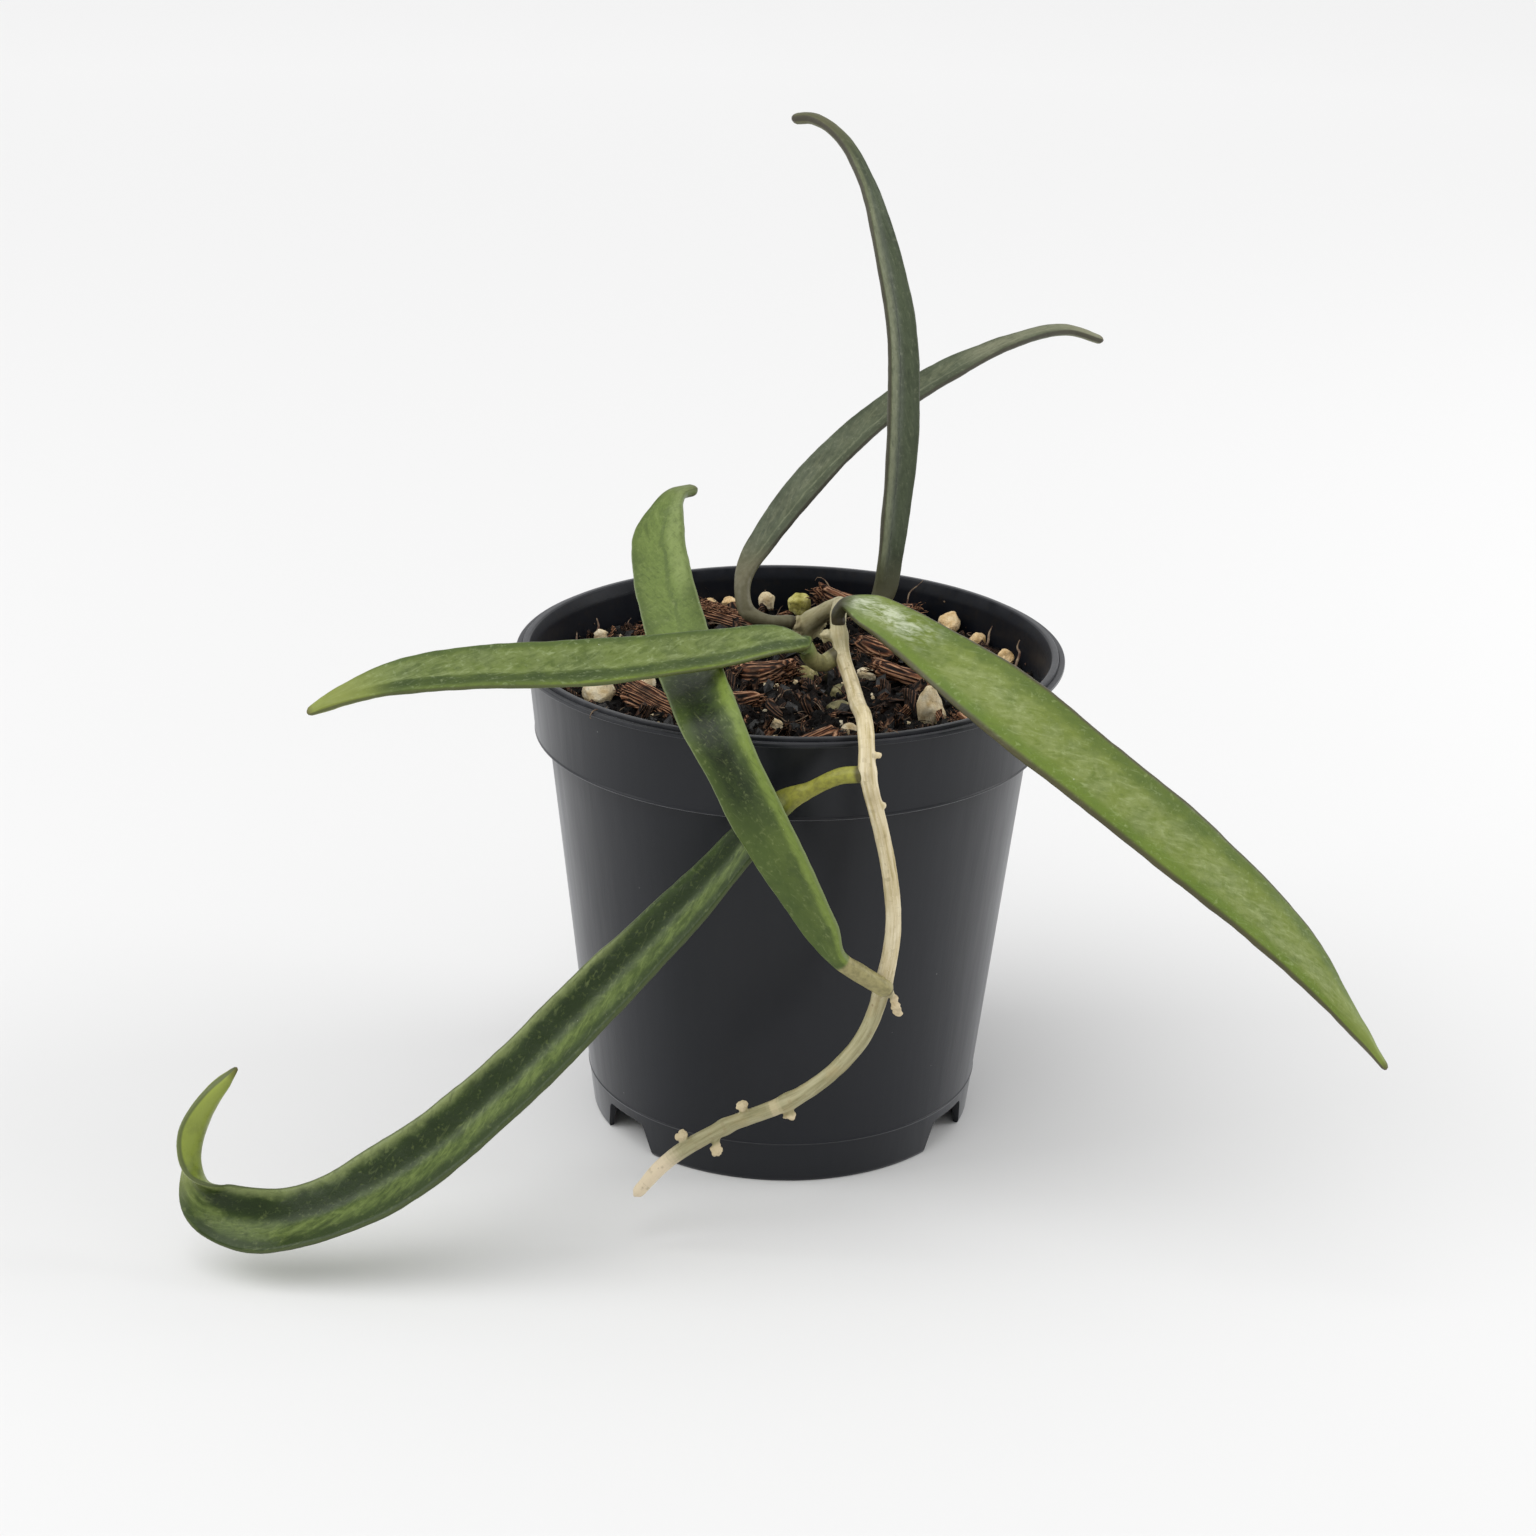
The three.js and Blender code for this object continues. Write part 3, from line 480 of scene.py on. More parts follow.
def makePot():
    outline = np.array(roundedOutline(potCorners()))
    count = pot["segments"]
    ring = np.stack(roundTurns(count), 1)
    # the outline is walked from the floor's underside round to its top, so the rings are reversed
    rows = outline[1:-1]
    rings = [np.column_stack([ring * radius, np.full(count, height)]) for radius, height in rows]
    points = skinPoints(rings, (0, 0, outline[0][1]), (0, 0, outline[-1][1]))
    shell = newPiece("pot_shell", points, [face[::-1] for face in skinFaces(len(rows), count)],
                     potPlastic())
    half, high, reach = pot["notchWidth"] / 2, pot["notchHeight"], pot["notchReach"]
    # each notch is widest at the foot, and its two upper corners are rounded
    section = [(-half - 1, -1), (half + 1, -1), (half - 1, high - 1), (half - 1.4, high - 0.3),
               (half - 2, high), (2 - half, high), (1.4 - half, high - 0.3), (1 - half, high - 1)]
    cutter = bmesh.new()
    for angle in pot["notchAngles"]:
        spin = Matrix.Rotation(math.radians(angle), 4, "Z")
        sides = [[cutter.verts.new(spin @ Vector((depth, x, z)) * mm) for x, z in section]
                 for depth in (pot["footRadius"] - reach, pot["footRadius"] + reach)]
        cutter.faces.new(sides[0])
        cutter.faces.new(sides[1][::-1])
        for index in range(len(section)):
            after = (index + 1) % len(section)
            cutter.faces.new((sides[0][index], sides[1][index], sides[1][after], sides[0][after]))
    for index in range(pot["drainCount"]):
        angle = (index + 0.5) / pot["drainCount"] * 2 * math.pi
        middle = Vector((math.cos(angle), math.sin(angle), 0)) * pot["drainRing"]
        middle.z = pot["floorHeight"] + pot["floorThickness"] / 2
        bmesh.ops.create_cone(cutter, cap_ends=True, segments=40, radius1=pot["drainRadius"] * mm,
                              radius2=pot["drainRadius"] * mm, depth=3 * mm,
                              matrix=Matrix.Translation(middle * mm))
    bmesh.ops.recalc_face_normals(cutter, faces=cutter.faces)
    tool = pieceFrom(cutter, "notches", shell.data.materials[0])
    cut = shell.modifiers.new("notches", "BOOLEAN")
    cut.object, cut.operation, cut.solver = tool, "DIFFERENCE", "EXACT"
    settle(shell)
    bpy.data.objects.remove(tool)
    shell.data.shade_smooth()
    shell.data.set_sharp_from_angle(angle=math.radians(pot["sharpAngle"]))
    finishPiece(shell, "pot_plastic", "pot")


makePot()
print("pot made")


# Leaves. Each has its centre line from the vine to the tip, the way its channelled face looks and
# its half width at each of those points, and what its skin looks like. A band is: place across the
# face from -1 to 1, half width, colour, strength, how broken it is, and its start and end.
leaves = {
    "leaf_right": {
        "petioleRadius": 1.28, "petioleLength": 4.5, "thickness": 2.3, "fold": 0.1, "root": 1.2,
        "joint": 1.0, "opening": 9, "join": 4,
        "half": [1.28, 1.28, 1.4, 3.7, 4.9, 6.9, 6.85, 6.5, 4.9, 1.7, 0.6],
        "line": [(8.5, -20, 103), (8.4, -20, 105.8), (9.6, -20.6, 107.7), (13.8, -23.3, 107.5),
                 (20.3, -27.8, 105.2), (33.2, -40.9, 100.2), (51.6, -51, 88.9), (70.4, -57, 75.5),
                 (86.8, -61, 61.6), (98.8, -64, 47.4), (104.2, -65.5, 40.6)],
        "face": [(-1, -0.4, 0), (-1, -0.4, 0.2), (-0.5, -0.5, 0.9), (0.2, -0.7, 0.7),
                 (0.25, -0.7, 0.65), (0.25, -0.72, 0.65), (0.3, -0.72, 0.62), (0.35, -0.72, 0.6),
                 (0.4, -0.72, 0.55), (0.45, -0.75, 0.5), (0.45, -0.75, 0.5)],
        "skin": "#6d7c34", "mottle": ("#55672b", 0.75), "under": "#76834a", "rim": ("#463a33", 0.1),
        "tip": ("#7d8a41", 0.9), "petiole": "#2e2c1f", "gloss": 0.36, "flecks": ("#a5b27c", 0.5),
        "bands": [(0.75, 0.42, "#4d6029", 0.75, 0.4, 0.12, 1),
                  (-0.75, 0.35, "#5b7424", 0.6, 0.3, 0.05, 1),
                  (-0.05, 0.7, "#8f9964", 0.6, 0.85, 0.2, 0.93),
                  (0.1, 1.1, "#7d8763", 0.6, 0.3, 0, 0.07),
                  (0.15, 0.8, "#d0d6bd", 0.68, 1.0, 0.02, 0.16)],
    },
    "leaf_left": {
        "petioleRadius": 1.6, "petioleLength": 9, "thickness": 2.3, "fold": 0.42, "root": 1.0,
        "joint": 0.9, "opening": 14, "join": 4,
        "half": [1.6, 1.6, 1.55, 2.1, 3.4, 4.8, 5.5, 4.8, 3.5, 1.9, 0.7],
        "line": [(9.2, -22, 99.2), (5.9, -23, 97.4), (3.8, -25, 99), (2, -28, 102.7),
                 (-1.9, -31.9, 104.5), (-15.5, -43.2, 105.6), (-35.4, -51.2, 105.6),
                 (-54, -56, 106), (-66.4, -59, 105), (-74.5, -61, 102.7), (-80.2, -62, 100)],
        "face": [(0, -0.2, 1), (-0.6, -0.2, 0.8), (-0.8, -0.3, 0.4), (-0.5, -0.6, 0.6),
                 (-0.1, -0.6, 0.8), (0, -0.45, 0.9), (0, -0.45, 0.9), (0, -0.45, 0.9),
                 (-0.1, -0.5, 0.85), (-0.2, -0.55, 0.8), (-0.3, -0.6, 0.75)],
        "skin": "#5e6e2f", "mottle": ("#435326", 0.8), "under": "#6d7b43", "rim": ("#555a38", 0.04),
        "tip": ("#8d9546", 0.88), "petiole": "#949062", "gloss": 0.38, "flecks": ("#a4b184", 0.55),
        # the pale band at 0.1 is a painted highlight along the crease, and the dark band at 0.52 is
        # painted shade on the near flank, which faces away from the light
        "bands": [(-0.35, 0.5, "#83905a", 0.55, 0.8, 0.1, 0.95),
                  (0.1, 0.2, "#8b9762", 0.55, 0.75, 0.05, 0.95),
                  (0.52, 0.42, "#2b3c13", 0.85, 0.25, 0.03, 0.88),
                  (-0.9, 0.22, "#43552a", 0.65, 0.2, 0.1, 0.9),
                  (0.97, 0.12, "#6f8030", 0.7, 0.1, 0.05, 0.6)],
    },
    "leaf_crossing": {
        "petioleRadius": 1.6, "petioleLength": 12.4, "thickness": 2.3, "fold": 0.3, "root": 0,
        "joint": -1.0, "opening": 5, "join": 0.8,
        "half": [1.6, 1.6, 1.8, 3.7, 4.9, 5.1, 5.3, 5.3, 5.5, 5.45, 5.5, 5.2, 3.6, 1.9, 1.1],
        "line": [(17.6, -59.3, 50.9), (13.2, -60.7, 54.3), (9.2, -61.9, 57.7), (6.4, -62, 63),
                 (-1.5, -62, 77.5), (-8.9, -59.8, 91.1), (-12.7, -55, 97), (-15.4, -46, 99.6),
                 (-18.2, -33.6, 100.9), (-21.1, -19.8, 104.1), (-23.8, -5, 108.3),
                 (-24.8, 5, 111.9), (-24, 12, 114.5), (-22.1, 18, 116.3), (-18.7, 23, 116)],
        "face": [(-0.3, -0.9, -0.3), (-0.3, -0.9, -0.3), (-0.4, -0.9, -0.2), (-0.45, -0.88, -0.1),
                 (-0.35, -0.93, -0.1), (-0.35, -0.9, 0.2), (-0.35, -0.7, 0.6), (-0.35, -0.4, 0.85),
                 (-0.3, -0.3, 0.9), (-0.3, -0.3, 0.9), (-0.35, -0.4, 0.85), (-0.35, -0.4, 0.85),
                 (-0.3, -0.3, 0.9), (0, -0.1, 1), (0.3, 0.2, 0.9)],
        "skin": "#4e5e28", "mottle": ("#3b4b1e", 0.75), "under": "#6b7a46",
        "rim": ("#6d7b4a", 0.05), "tip": ("#6a6b45", 0.96), "petiole": "#9d9567", "gloss": 0.36,
        "flecks": ("#8a965e", 0.5),
        "bands": [(0.1, 1.1, "#6f8240", 0.75, 0.4, 0.6, 1),
                  (-0.15, 0.12, "#3c4d22", 0.65, 0.7, 0.64, 0.9),
                  # these two dark bands across the whole blade are the painted shadow of leaf_left,
                  # which passes above it
                  (0.15, 1.0, "#212f12", 0.92, 0.2, 0.28, 0.56),
                  (0.15, 0.6, "#0e1706", 0.9, 0.5, 0.33, 0.47),
                  (0.45, 0.6, "#3a4d20", 0.5, 0.5, 0.07, 0.28),
                  (-0.85, 0.4, "#7d9040", 0.7, 0.15, 0.03, 0.6),
                  (-0.65, 0.5, "#8a9a5c", 0.6, 0.2, 0.72, 0.98)],
    },
    "leaf_low": {
        "petioleRadius": 1.5, "petioleLength": 16, "thickness": 2.3, "fold": 0.45, "root": 1.0,
        "joint": 0.9, "opening": 9, "join": 5,
        "half": [1.45, 1.4, 1.35, 2.5, 3.5, 4.4, 5.8, 6.1, 6.8, 6.0, 5.6, 4.9, 4.5, 3.8, 2.0, 0.45],
        "line": [(13.6, -55.2, 88.9), (8.9, -54.2, 88), (3.9, -53.2, 85), (-0.6, -53, 82.3),
                 (-7, -54, 75.2), (-14.6, -56, 66.4), (-31.2, -62, 49.8), (-47.5, -68.3, 34),
                 (-64.5, -72.5, 20.2), (-81.4, -74.5, 11.6), (-91.0, -74.6, 10.8),
                 (-98.5, -73.2, 13.3), (-101.7, -71.4, 19.2), (-100.9, -69.9, 26),
                 (-97.6, -68.6, 32.2), (-93.6, -67, 36.6)],
        # the last quarter twists over, so that the upper rim comes round in front
        "face": [(-0.3, -0.5, 0.8), (-0.3, -0.5, 0.8), (-0.3, -0.5, 0.8), (-0.3, -0.6, 0.7),
                 (-0.4, -0.7, 0.6), (-0.4, -0.7, 0.6), (-0.4, -0.7, 0.6), (-0.3, -0.65, 0.7),
                 (-0.2, -0.6, 0.8), (0.05, -0.52, 0.87), (0.06, -0.77, 0.62), (-0.35, -0.86, 0.43),
                 (-0.85, -0.2, -0.05), (-0.82, 0.42, 0.1), (-0.75, 0.6, 0.2), (-0.7, 0.6, 0.2)],
        "skin": "#324315", "mottle": ("#24320d", 0.7), "under": "#7f9038", "rim": ("#4b5435", 0.06),
        "tip": ("#98a24e", 0.885), "petiole": "#9a9943", "gloss": 0.3, "flecks": ("#7c8852", 0.5),
        # the dark band at -0.35 is painted shade on the upper inner wall of the channel, the paler
        # band at 0.3 is partly a painted sheen, and the band at -1.0 is a painted highlight along
        # the upper rim
        "bands": [(-0.35, 0.5, "#1a280c", 0.9, 0.15, 0.1, 0.87),
                  (0.3, 0.42, "#64743a", 0.8, 0.7, 0.08, 0.87),
                  (0.8, 0.3, "#26350f", 0.8, 0.25, 0.1, 0.85),
                  (-1.0, 0.42, "#7b8654", 0.95, 0.1, 0.3, 0.93),
                  (0, 2.0, "#b2ba6c", 0.95, 0.2, 0.885, 0.94),
                  (0, 2.0, "#5f6b2e", 0.95, 0.2, 0.94, 1)],
    },
    "leaf_upright": {
        "petioleRadius": 1.4, "petioleLength": 17, "thickness": 2.2, "fold": 0.45, "root": 3.5,
        "joint": 0.4, "opening": 9, "join": 12,
        "half": [1.4, 1.4, 1.4, 1.35, 2.2, 2.8, 3.45, 3.9, 3.55, 3.05, 1.8, 1.3, 1.25, 1.1],
        "line": [(3.6, 24.6, 88.4), (7.6, 27, 89.9), (11.5, 29, 90.7), (15.2, 30.8, 90.3),
                 (17.9, 32, 92.9), (18.9, 33, 99.6), (20.1, 36, 113), (20.6, 39, 126.4),
                 (19.8, 43, 143), (16.8, 47, 156.9), (12.9, 52, 169.1), (8, 58, 176.8),
                 (2.4, 64, 179.9), (-2, 68, 179.4)],
        "face": [(0, 0, 1), (0, 0, 1), (0, 0, 1), (-0.4, -0.4, 0.8), (0.1, -1, 0.1),
                 (0.5, -0.85, 0), (0.55, -0.83, 0), (0.6, -0.8, 0.1), (0.6, -0.8, 0.2),
                 (0.55, -0.7, 0.4), (0.45, -0.6, 0.6), (0.3, -0.4, 0.85), (0.2, -0.3, 0.93),
                 (0.1, -0.3, 0.93)],
        "skin": "#424b36", "mottle": ("#333b2a", 0.7), "under": "#565d42", "rim": ("#3c372f", 0.08),
        "tip": ("#625f42", 0.86), "petiole": "#4c4b38", "gloss": 0.42, "flecks": ("#7d8268", 0.5),
        "bands": [(0.75, 0.55, "#73785a", 0.85, 0.3, 0.1, 0.85),
                  (0.2, 0.05, "#1f2417", 0.95, 0.6, 0.12, 0.62),
                  (-0.3, 0.4, "#525c44", 0.6, 0.8, 0.2, 0.9)],
    },
    "leaf_arching": {
        "petioleRadius": 1.35, "petioleLength": 20, "thickness": 2.2, "fold": 0.42, "root": 3.5,
        "joint": 0.4, "opening": 9, "join": 12,
        "half": [1.35, 1.3, 1.3, 1.6, 1.7, 2.4, 2.9, 3.6, 3.8, 3.45, 3.05, 1.8, 1.2, 1.0],
        "line": [(3.4, 24.6, 88.6), (-0.4, 23.5, 89.7), (-4.5, 22.2, 90.1), (-8.4, 22.2, 91.9),
                 (-9.5, 24, 95), (-9.1, 27, 98.3), (-6.6, 31, 102.1), (-1.3, 36, 108.7),
                 (7.1, 43, 117), (18.9, 52.8, 125.4), (29.8, 60.4, 130.7), (42.8, 67.6, 135.5),
                 (54.4, 74.6, 136.8), (62.9, 79.3, 133.7)],
        "face": [(0, 0, 1), (0, 0, 1), (0, 0, 1), (-0.5, -0.3, 0.8), (-0.8, -0.5, 0.3),
                 (-0.65, -0.75, 0.1), (-0.55, -0.8, 0.3), (-0.5, -0.75, 0.45), (-0.5, -0.7, 0.5),
                 (-0.45, -0.65, 0.6), (-0.4, -0.6, 0.7), (-0.35, -0.55, 0.75), (-0.3, -0.5, 0.8),
                 (-0.2, -0.4, 0.9)],
        "skin": "#4e5641", "mottle": ("#363e2a", 0.75), "under": "#5a6146",
        "rim": ("#3f3b31", 0.08), "tip": ("#85846a", 0.9), "petiole": "#6a664f", "gloss": 0.42,
        "flecks": ("#888d74", 0.45),
        "bands": [(0.2, 0.6, "#6f7358", 0.5, 0.9, 0.2, 0.9),
                  (-0.35, 0.1, "#82866a", 0.45, 0.5, 0.15, 0.9),
                  (-0.72, 0.32, "#3a402c", 0.65, 0.3, 0.12, 0.8),
                  (0, 1.3, "#87886f", 0.6, 0.3, 0.72, 1)],
    },
}
leafShape = {"stations": 230, "sides": 52, "end": 0.9985, "lowered": 0.45, "foot": (0.96, 0.8, 0.5),
             "openFrom": 0.7, "thickest": 0.95, "tipReach": 1.3, "marginFull": 0.92,
             "faceFull": 0.9, "wander": 0.035, "wanderSize": 14, "ripple": 0.14, "rippleSize": 8,
             "dimple": 0.05, "dimpleSize": 2.2, "rimRise": 0.18, "rimPlace": 0.88, "rimWidth": 0.08,
             "calmFoot": 6}
collar = {"rise": 0.7, "flare": 0.15, "leaves": ("leaf_upright", "leaf_arching")}

vine = {
    "line": [(4, 26, 78), (4, 26, 85.6), (3.6, 25, 88.6), (5.9, 21, 92.2), (8.5, 12, 96.8),
             (9, -4, 102), (8.5, -15, 104), (8.5, -20, 103), (9.4, -23, 98.8), (10.8, -29, 96.4),
             (12, -38.5, 95.2), (12.9, -46.4, 95.6), (13.3, -52.8, 93.4), (13.6, -55.2, 88.9),
             (16.4, -56, 78), (18.2, -57, 69.3), (18.8, -58, 61.3), (17.8, -58, 53),
             (15.2, -58, 42.7), (11.7, -58, 36.8), (7, -58, 31.8), (1.5, -58, 27.8),
             (-9.7, -58.5, 22.7), (-19.4, -59, 16.2), (-25.4, -60, 9.4)],
    "radius": [2.3, 2.4, 2.4, 1.8, 1.6, 1.5, 1.5, 1.45, 1.4, 1.35, 1.45, 1.45, 1.45, 1.45, 1.38,
               1.36, 1.38, 1.5, 1.4, 1.4, 1.4, 1.45, 1.35, 1.4, 1.12],
    # where each bud or aerial root stub leaves the stem, its way, length and radius
    "nubs": [((8.8, -21.4, 101.2), (-0.86, 0.05, 0.3), 3.3, 1.0),
             ((3.4, 24.4, 87.6), (-0.8, -0.4, -0.2), 3.9, 0.75),
             ((13.4, -54, 91.6), (1, -0.2, 0.25), 2.4, 0.5),
             ((15, -55.6, 83.4), (1, -0.3, 0.1), 1.9, 0.55),
             ((17.8, -58, 52.4), (0.36, -0.2, -0.92), 7.2, 0.66),
             ((-6, -58.4, 24.6), (-0.25, 0, 1), 3.1, 0.95),
             ((1.6, -58, 27.6), (0.1, -0.2, -1), 3.0, 1.0),
             ((-11.2, -58.6, 21.8), (0.1, -0.3, -1), 4.2, 0.85),
             ((-16.4, -59, 18.4), (-0.3, 0, 1), 3.5, 0.95),
             ((0.6, -58, 27.4), (-0.1, -1, 0.15), 1.6, 1.15)],
    # distance along the stem of each node that swells
    "joints": (62.0, 101.9, 141.1, 170.1, 182.3), "swelling": 0.25, "corkyRing": 172.5,
    "voxel": 0.2, "sides": 24, "step": 0.7, "swellingReach": 1.3, "tipDome": 1.4, "tipClose": 0.92,
    # how the radius of a collar and of a nub changes along it
    "collarSwell": (1.15, 1.12, 1.05, 1.0, 1.02, 1.04, 1.0),
    "nubSwell": (1.4, 1.2, 1.0, 0.85, 0.8, 0.85, 1.0, 1.2, 1.15, 0.75),
    # height in mm of the ribs along the stem, the slow lumps and the rough knobs
    "rib": 0.03, "lump": 0.06, "lumpSize": 3.2, "knob": 0.5,
}


# The way a leaf's petiole leaves the vine, and how far from the vine's line its collar ends.
def petioleStart(leaf):
    line = np.array(leaf["line"], float)
    way = unit(line[1] - line[0])
    near = np.argmin(np.linalg.norm(np.array(vine["line"], float) - line[0], axis=1))
    return line[0], way, vine["radius"][near] + collar["rise"]


def leafSkin(name, leaf, length):
    material, node, fill = newMaterial("waxyLeaf_" + name)
    along, across, face = node("SeparateXYZ",
                               node("Attribute", attribute_name="leafPlace")["Vector"])
    millimetres = objectMillimetres(node)
    share = node("Math DIVIDE", along, length)
    broad = node("TexNoise", millimetres, {"Scale": 0.16, "Detail": 4.0, "Roughness": 0.6})
    # blotches of about 2.5 mm, a little longer along the leaf than across it
    stretched = node("CombineXYZ", node("Math MULTIPLY", along, 0.26),
                     node("Math MULTIPLY", across, 2.6), face)
    blotch = node("TexNoise", stretched, {"Scale": 1.0, "Detail": 5.0, "Roughness": 0.62,
                                          "Distortion": 0.7})
    # short strokes that slant across the leaf, as the veins under the skin do
    lengthwise = node("Math ADD", node("Math MULTIPLY", along, 0.3),
                      node("Math MULTIPLY", across, 0.9))
    sideways = node("Math SUBTRACT", node("Math MULTIPLY", across, 6.5),
                    node("Math MULTIPLY", along, 0.45))
    strokes = node("TexNoise", node("CombineXYZ", lengthwise, sideways, face),
                   {"Scale": 1.0, "Detail": 4.0, "Roughness": 0.6, "Distortion": 0.8})
    mixed = node("Math MULTIPLY", node("Math ADD", blotch, strokes), 0.5)
    fine = node("TexNoise", millimetres, {"Scale": 1.1, "Detail": 4.0, "Roughness": 0.6})
    drift = node("Math SUBTRACT", node("Math ADD", broad, blotch), 1.0)
    shifted = node("Math ADD", across, node("Math MULTIPLY", drift, 0.3))
    dark, amount = leaf["mottle"]
    patches = node("MapRange SMOOTHSTEP", broad, 0.42, 0.66, 0, amount)
    tone = layered(node, leaf["skin"], (patches, dark))
    # bands along the blade: the haze of wax in the channel, the crease, the paler or darker flanks,
    # and on some leaves painted shade, a painted shadow and painted highlights, noted with each
    # leaf
    for centre, wide, colour, strength, broken, start, end in leaf["bands"]:
        off = node("Math ABSOLUTE", node("Math SUBTRACT", shifted, centre))
        mask = node("MapRange SMOOTHSTEP", off, wide, wide * 0.2, 0, strength)
        gaps = node("MapRange", mixed, 0.42, 0.58, 1 - broken)
        mask = node("Math MULTIPLY", mask, gaps)
        for edge, way in ((start, 1), (end, -1)):
            if 0 < edge < 1:
                fade = node("MapRange SMOOTHSTEP", share, edge - 0.04 * way, edge + 0.04 * way)
                mask = node("Math MULTIPLY", mask, fade)
        tone = layered(node, tone, (mask, colour))
    # finer mottling and strokes, darker and paler than the flesh
    pale, amount = leaf["flecks"]
    for pattern, low, high, most, colour in ((fine, 0.54, 0.72, 0.35, dark),
                                             (fine, 0.42, 0.28, 0.3, pale),
                                             (strokes, 0.44, 0.28, 0.4, dark),
                                             (strokes, 0.58, 0.76, amount * 0.7, pale)):
        mask = node("MapRange", pattern, low, high, 0, most)
        tone = layered(node, tone, (mask, colour))
    # the back of the leaf is paler and plainer
    back = node("MapRange", face, -0.05, -0.35)
    tone = layered(node, tone, (back, layered(node, leaf["under"], (patches, leaf["skin"]))))
    colour, start = leaf["tip"]
    tipMask = node("MapRange SMOOTHSTEP", share, start - 0.05, start + 0.07, 0, 0.66)
    tone = layered(node, tone, (tipMask, colour))
    end = node("MapRange", share, 0.985, 1.0, 0, 0.8)
    tone = layered(node, tone, (end, "#4a3a28"))
    # the thin margin is purple-brown where the sun has reached it
    colour, wide = leaf["rim"]
    rim = node("MapRange SMOOTHSTEP", node("Math ABSOLUTE", across), 1 - 1.8 * wide, 1 - 0.5 * wide,
               0, 0.8)
    grown = leaf["petioleLength"] * 0.75
    blade = node("MapRange SMOOTHSTEP", along, grown, grown + leaf["join"])
    tone = layered(node, tone, (node("Math MULTIPLY", rim, blade), colour))
    stalk = layered(node, leaf["petiole"], (node("MapRange", fine, 0.4, 0.65, 0, 0.4), "#4b482f"))
    tone = layered(node, stalk, (blade, tone))
    joint = node("MapRange", along, leaf["joint"] + 0.35, leaf["joint"] - 0.25, 0, 0.8)
    tone = layered(node, tone, (joint, "#3b3325"))
    # mineral specks and old bites, drawn as coarse as they need to be to show
    specks = node("Math MAXIMUM", spotMask(node, millimetres, 2.7, 0.13, 0.16),
                  spotMask(node, millimetres, 6.1, 0.24, 0.16))
    tone = layered(node, tone, (node("Math MULTIPLY", specks, amount), "#c6cdb0"))
    relief = node("Math ADD", node("Math MULTIPLY", blotch, 0.8), fine)
    relief = node("Math ADD", relief, specks)
    fill({
        "Base Color": tone,
        "Roughness": node("MapRange", fine, 0.3, 0.7, leaf["gloss"] - 0.05, leaf["gloss"] + 0.12),
        "IOR": 1.45,
        "Specular IOR Level": 0.3,
        "Normal": node("Bump", {"Height": relief, "Strength": 0.4, "Distance": 0.00015}),
    })
    return material


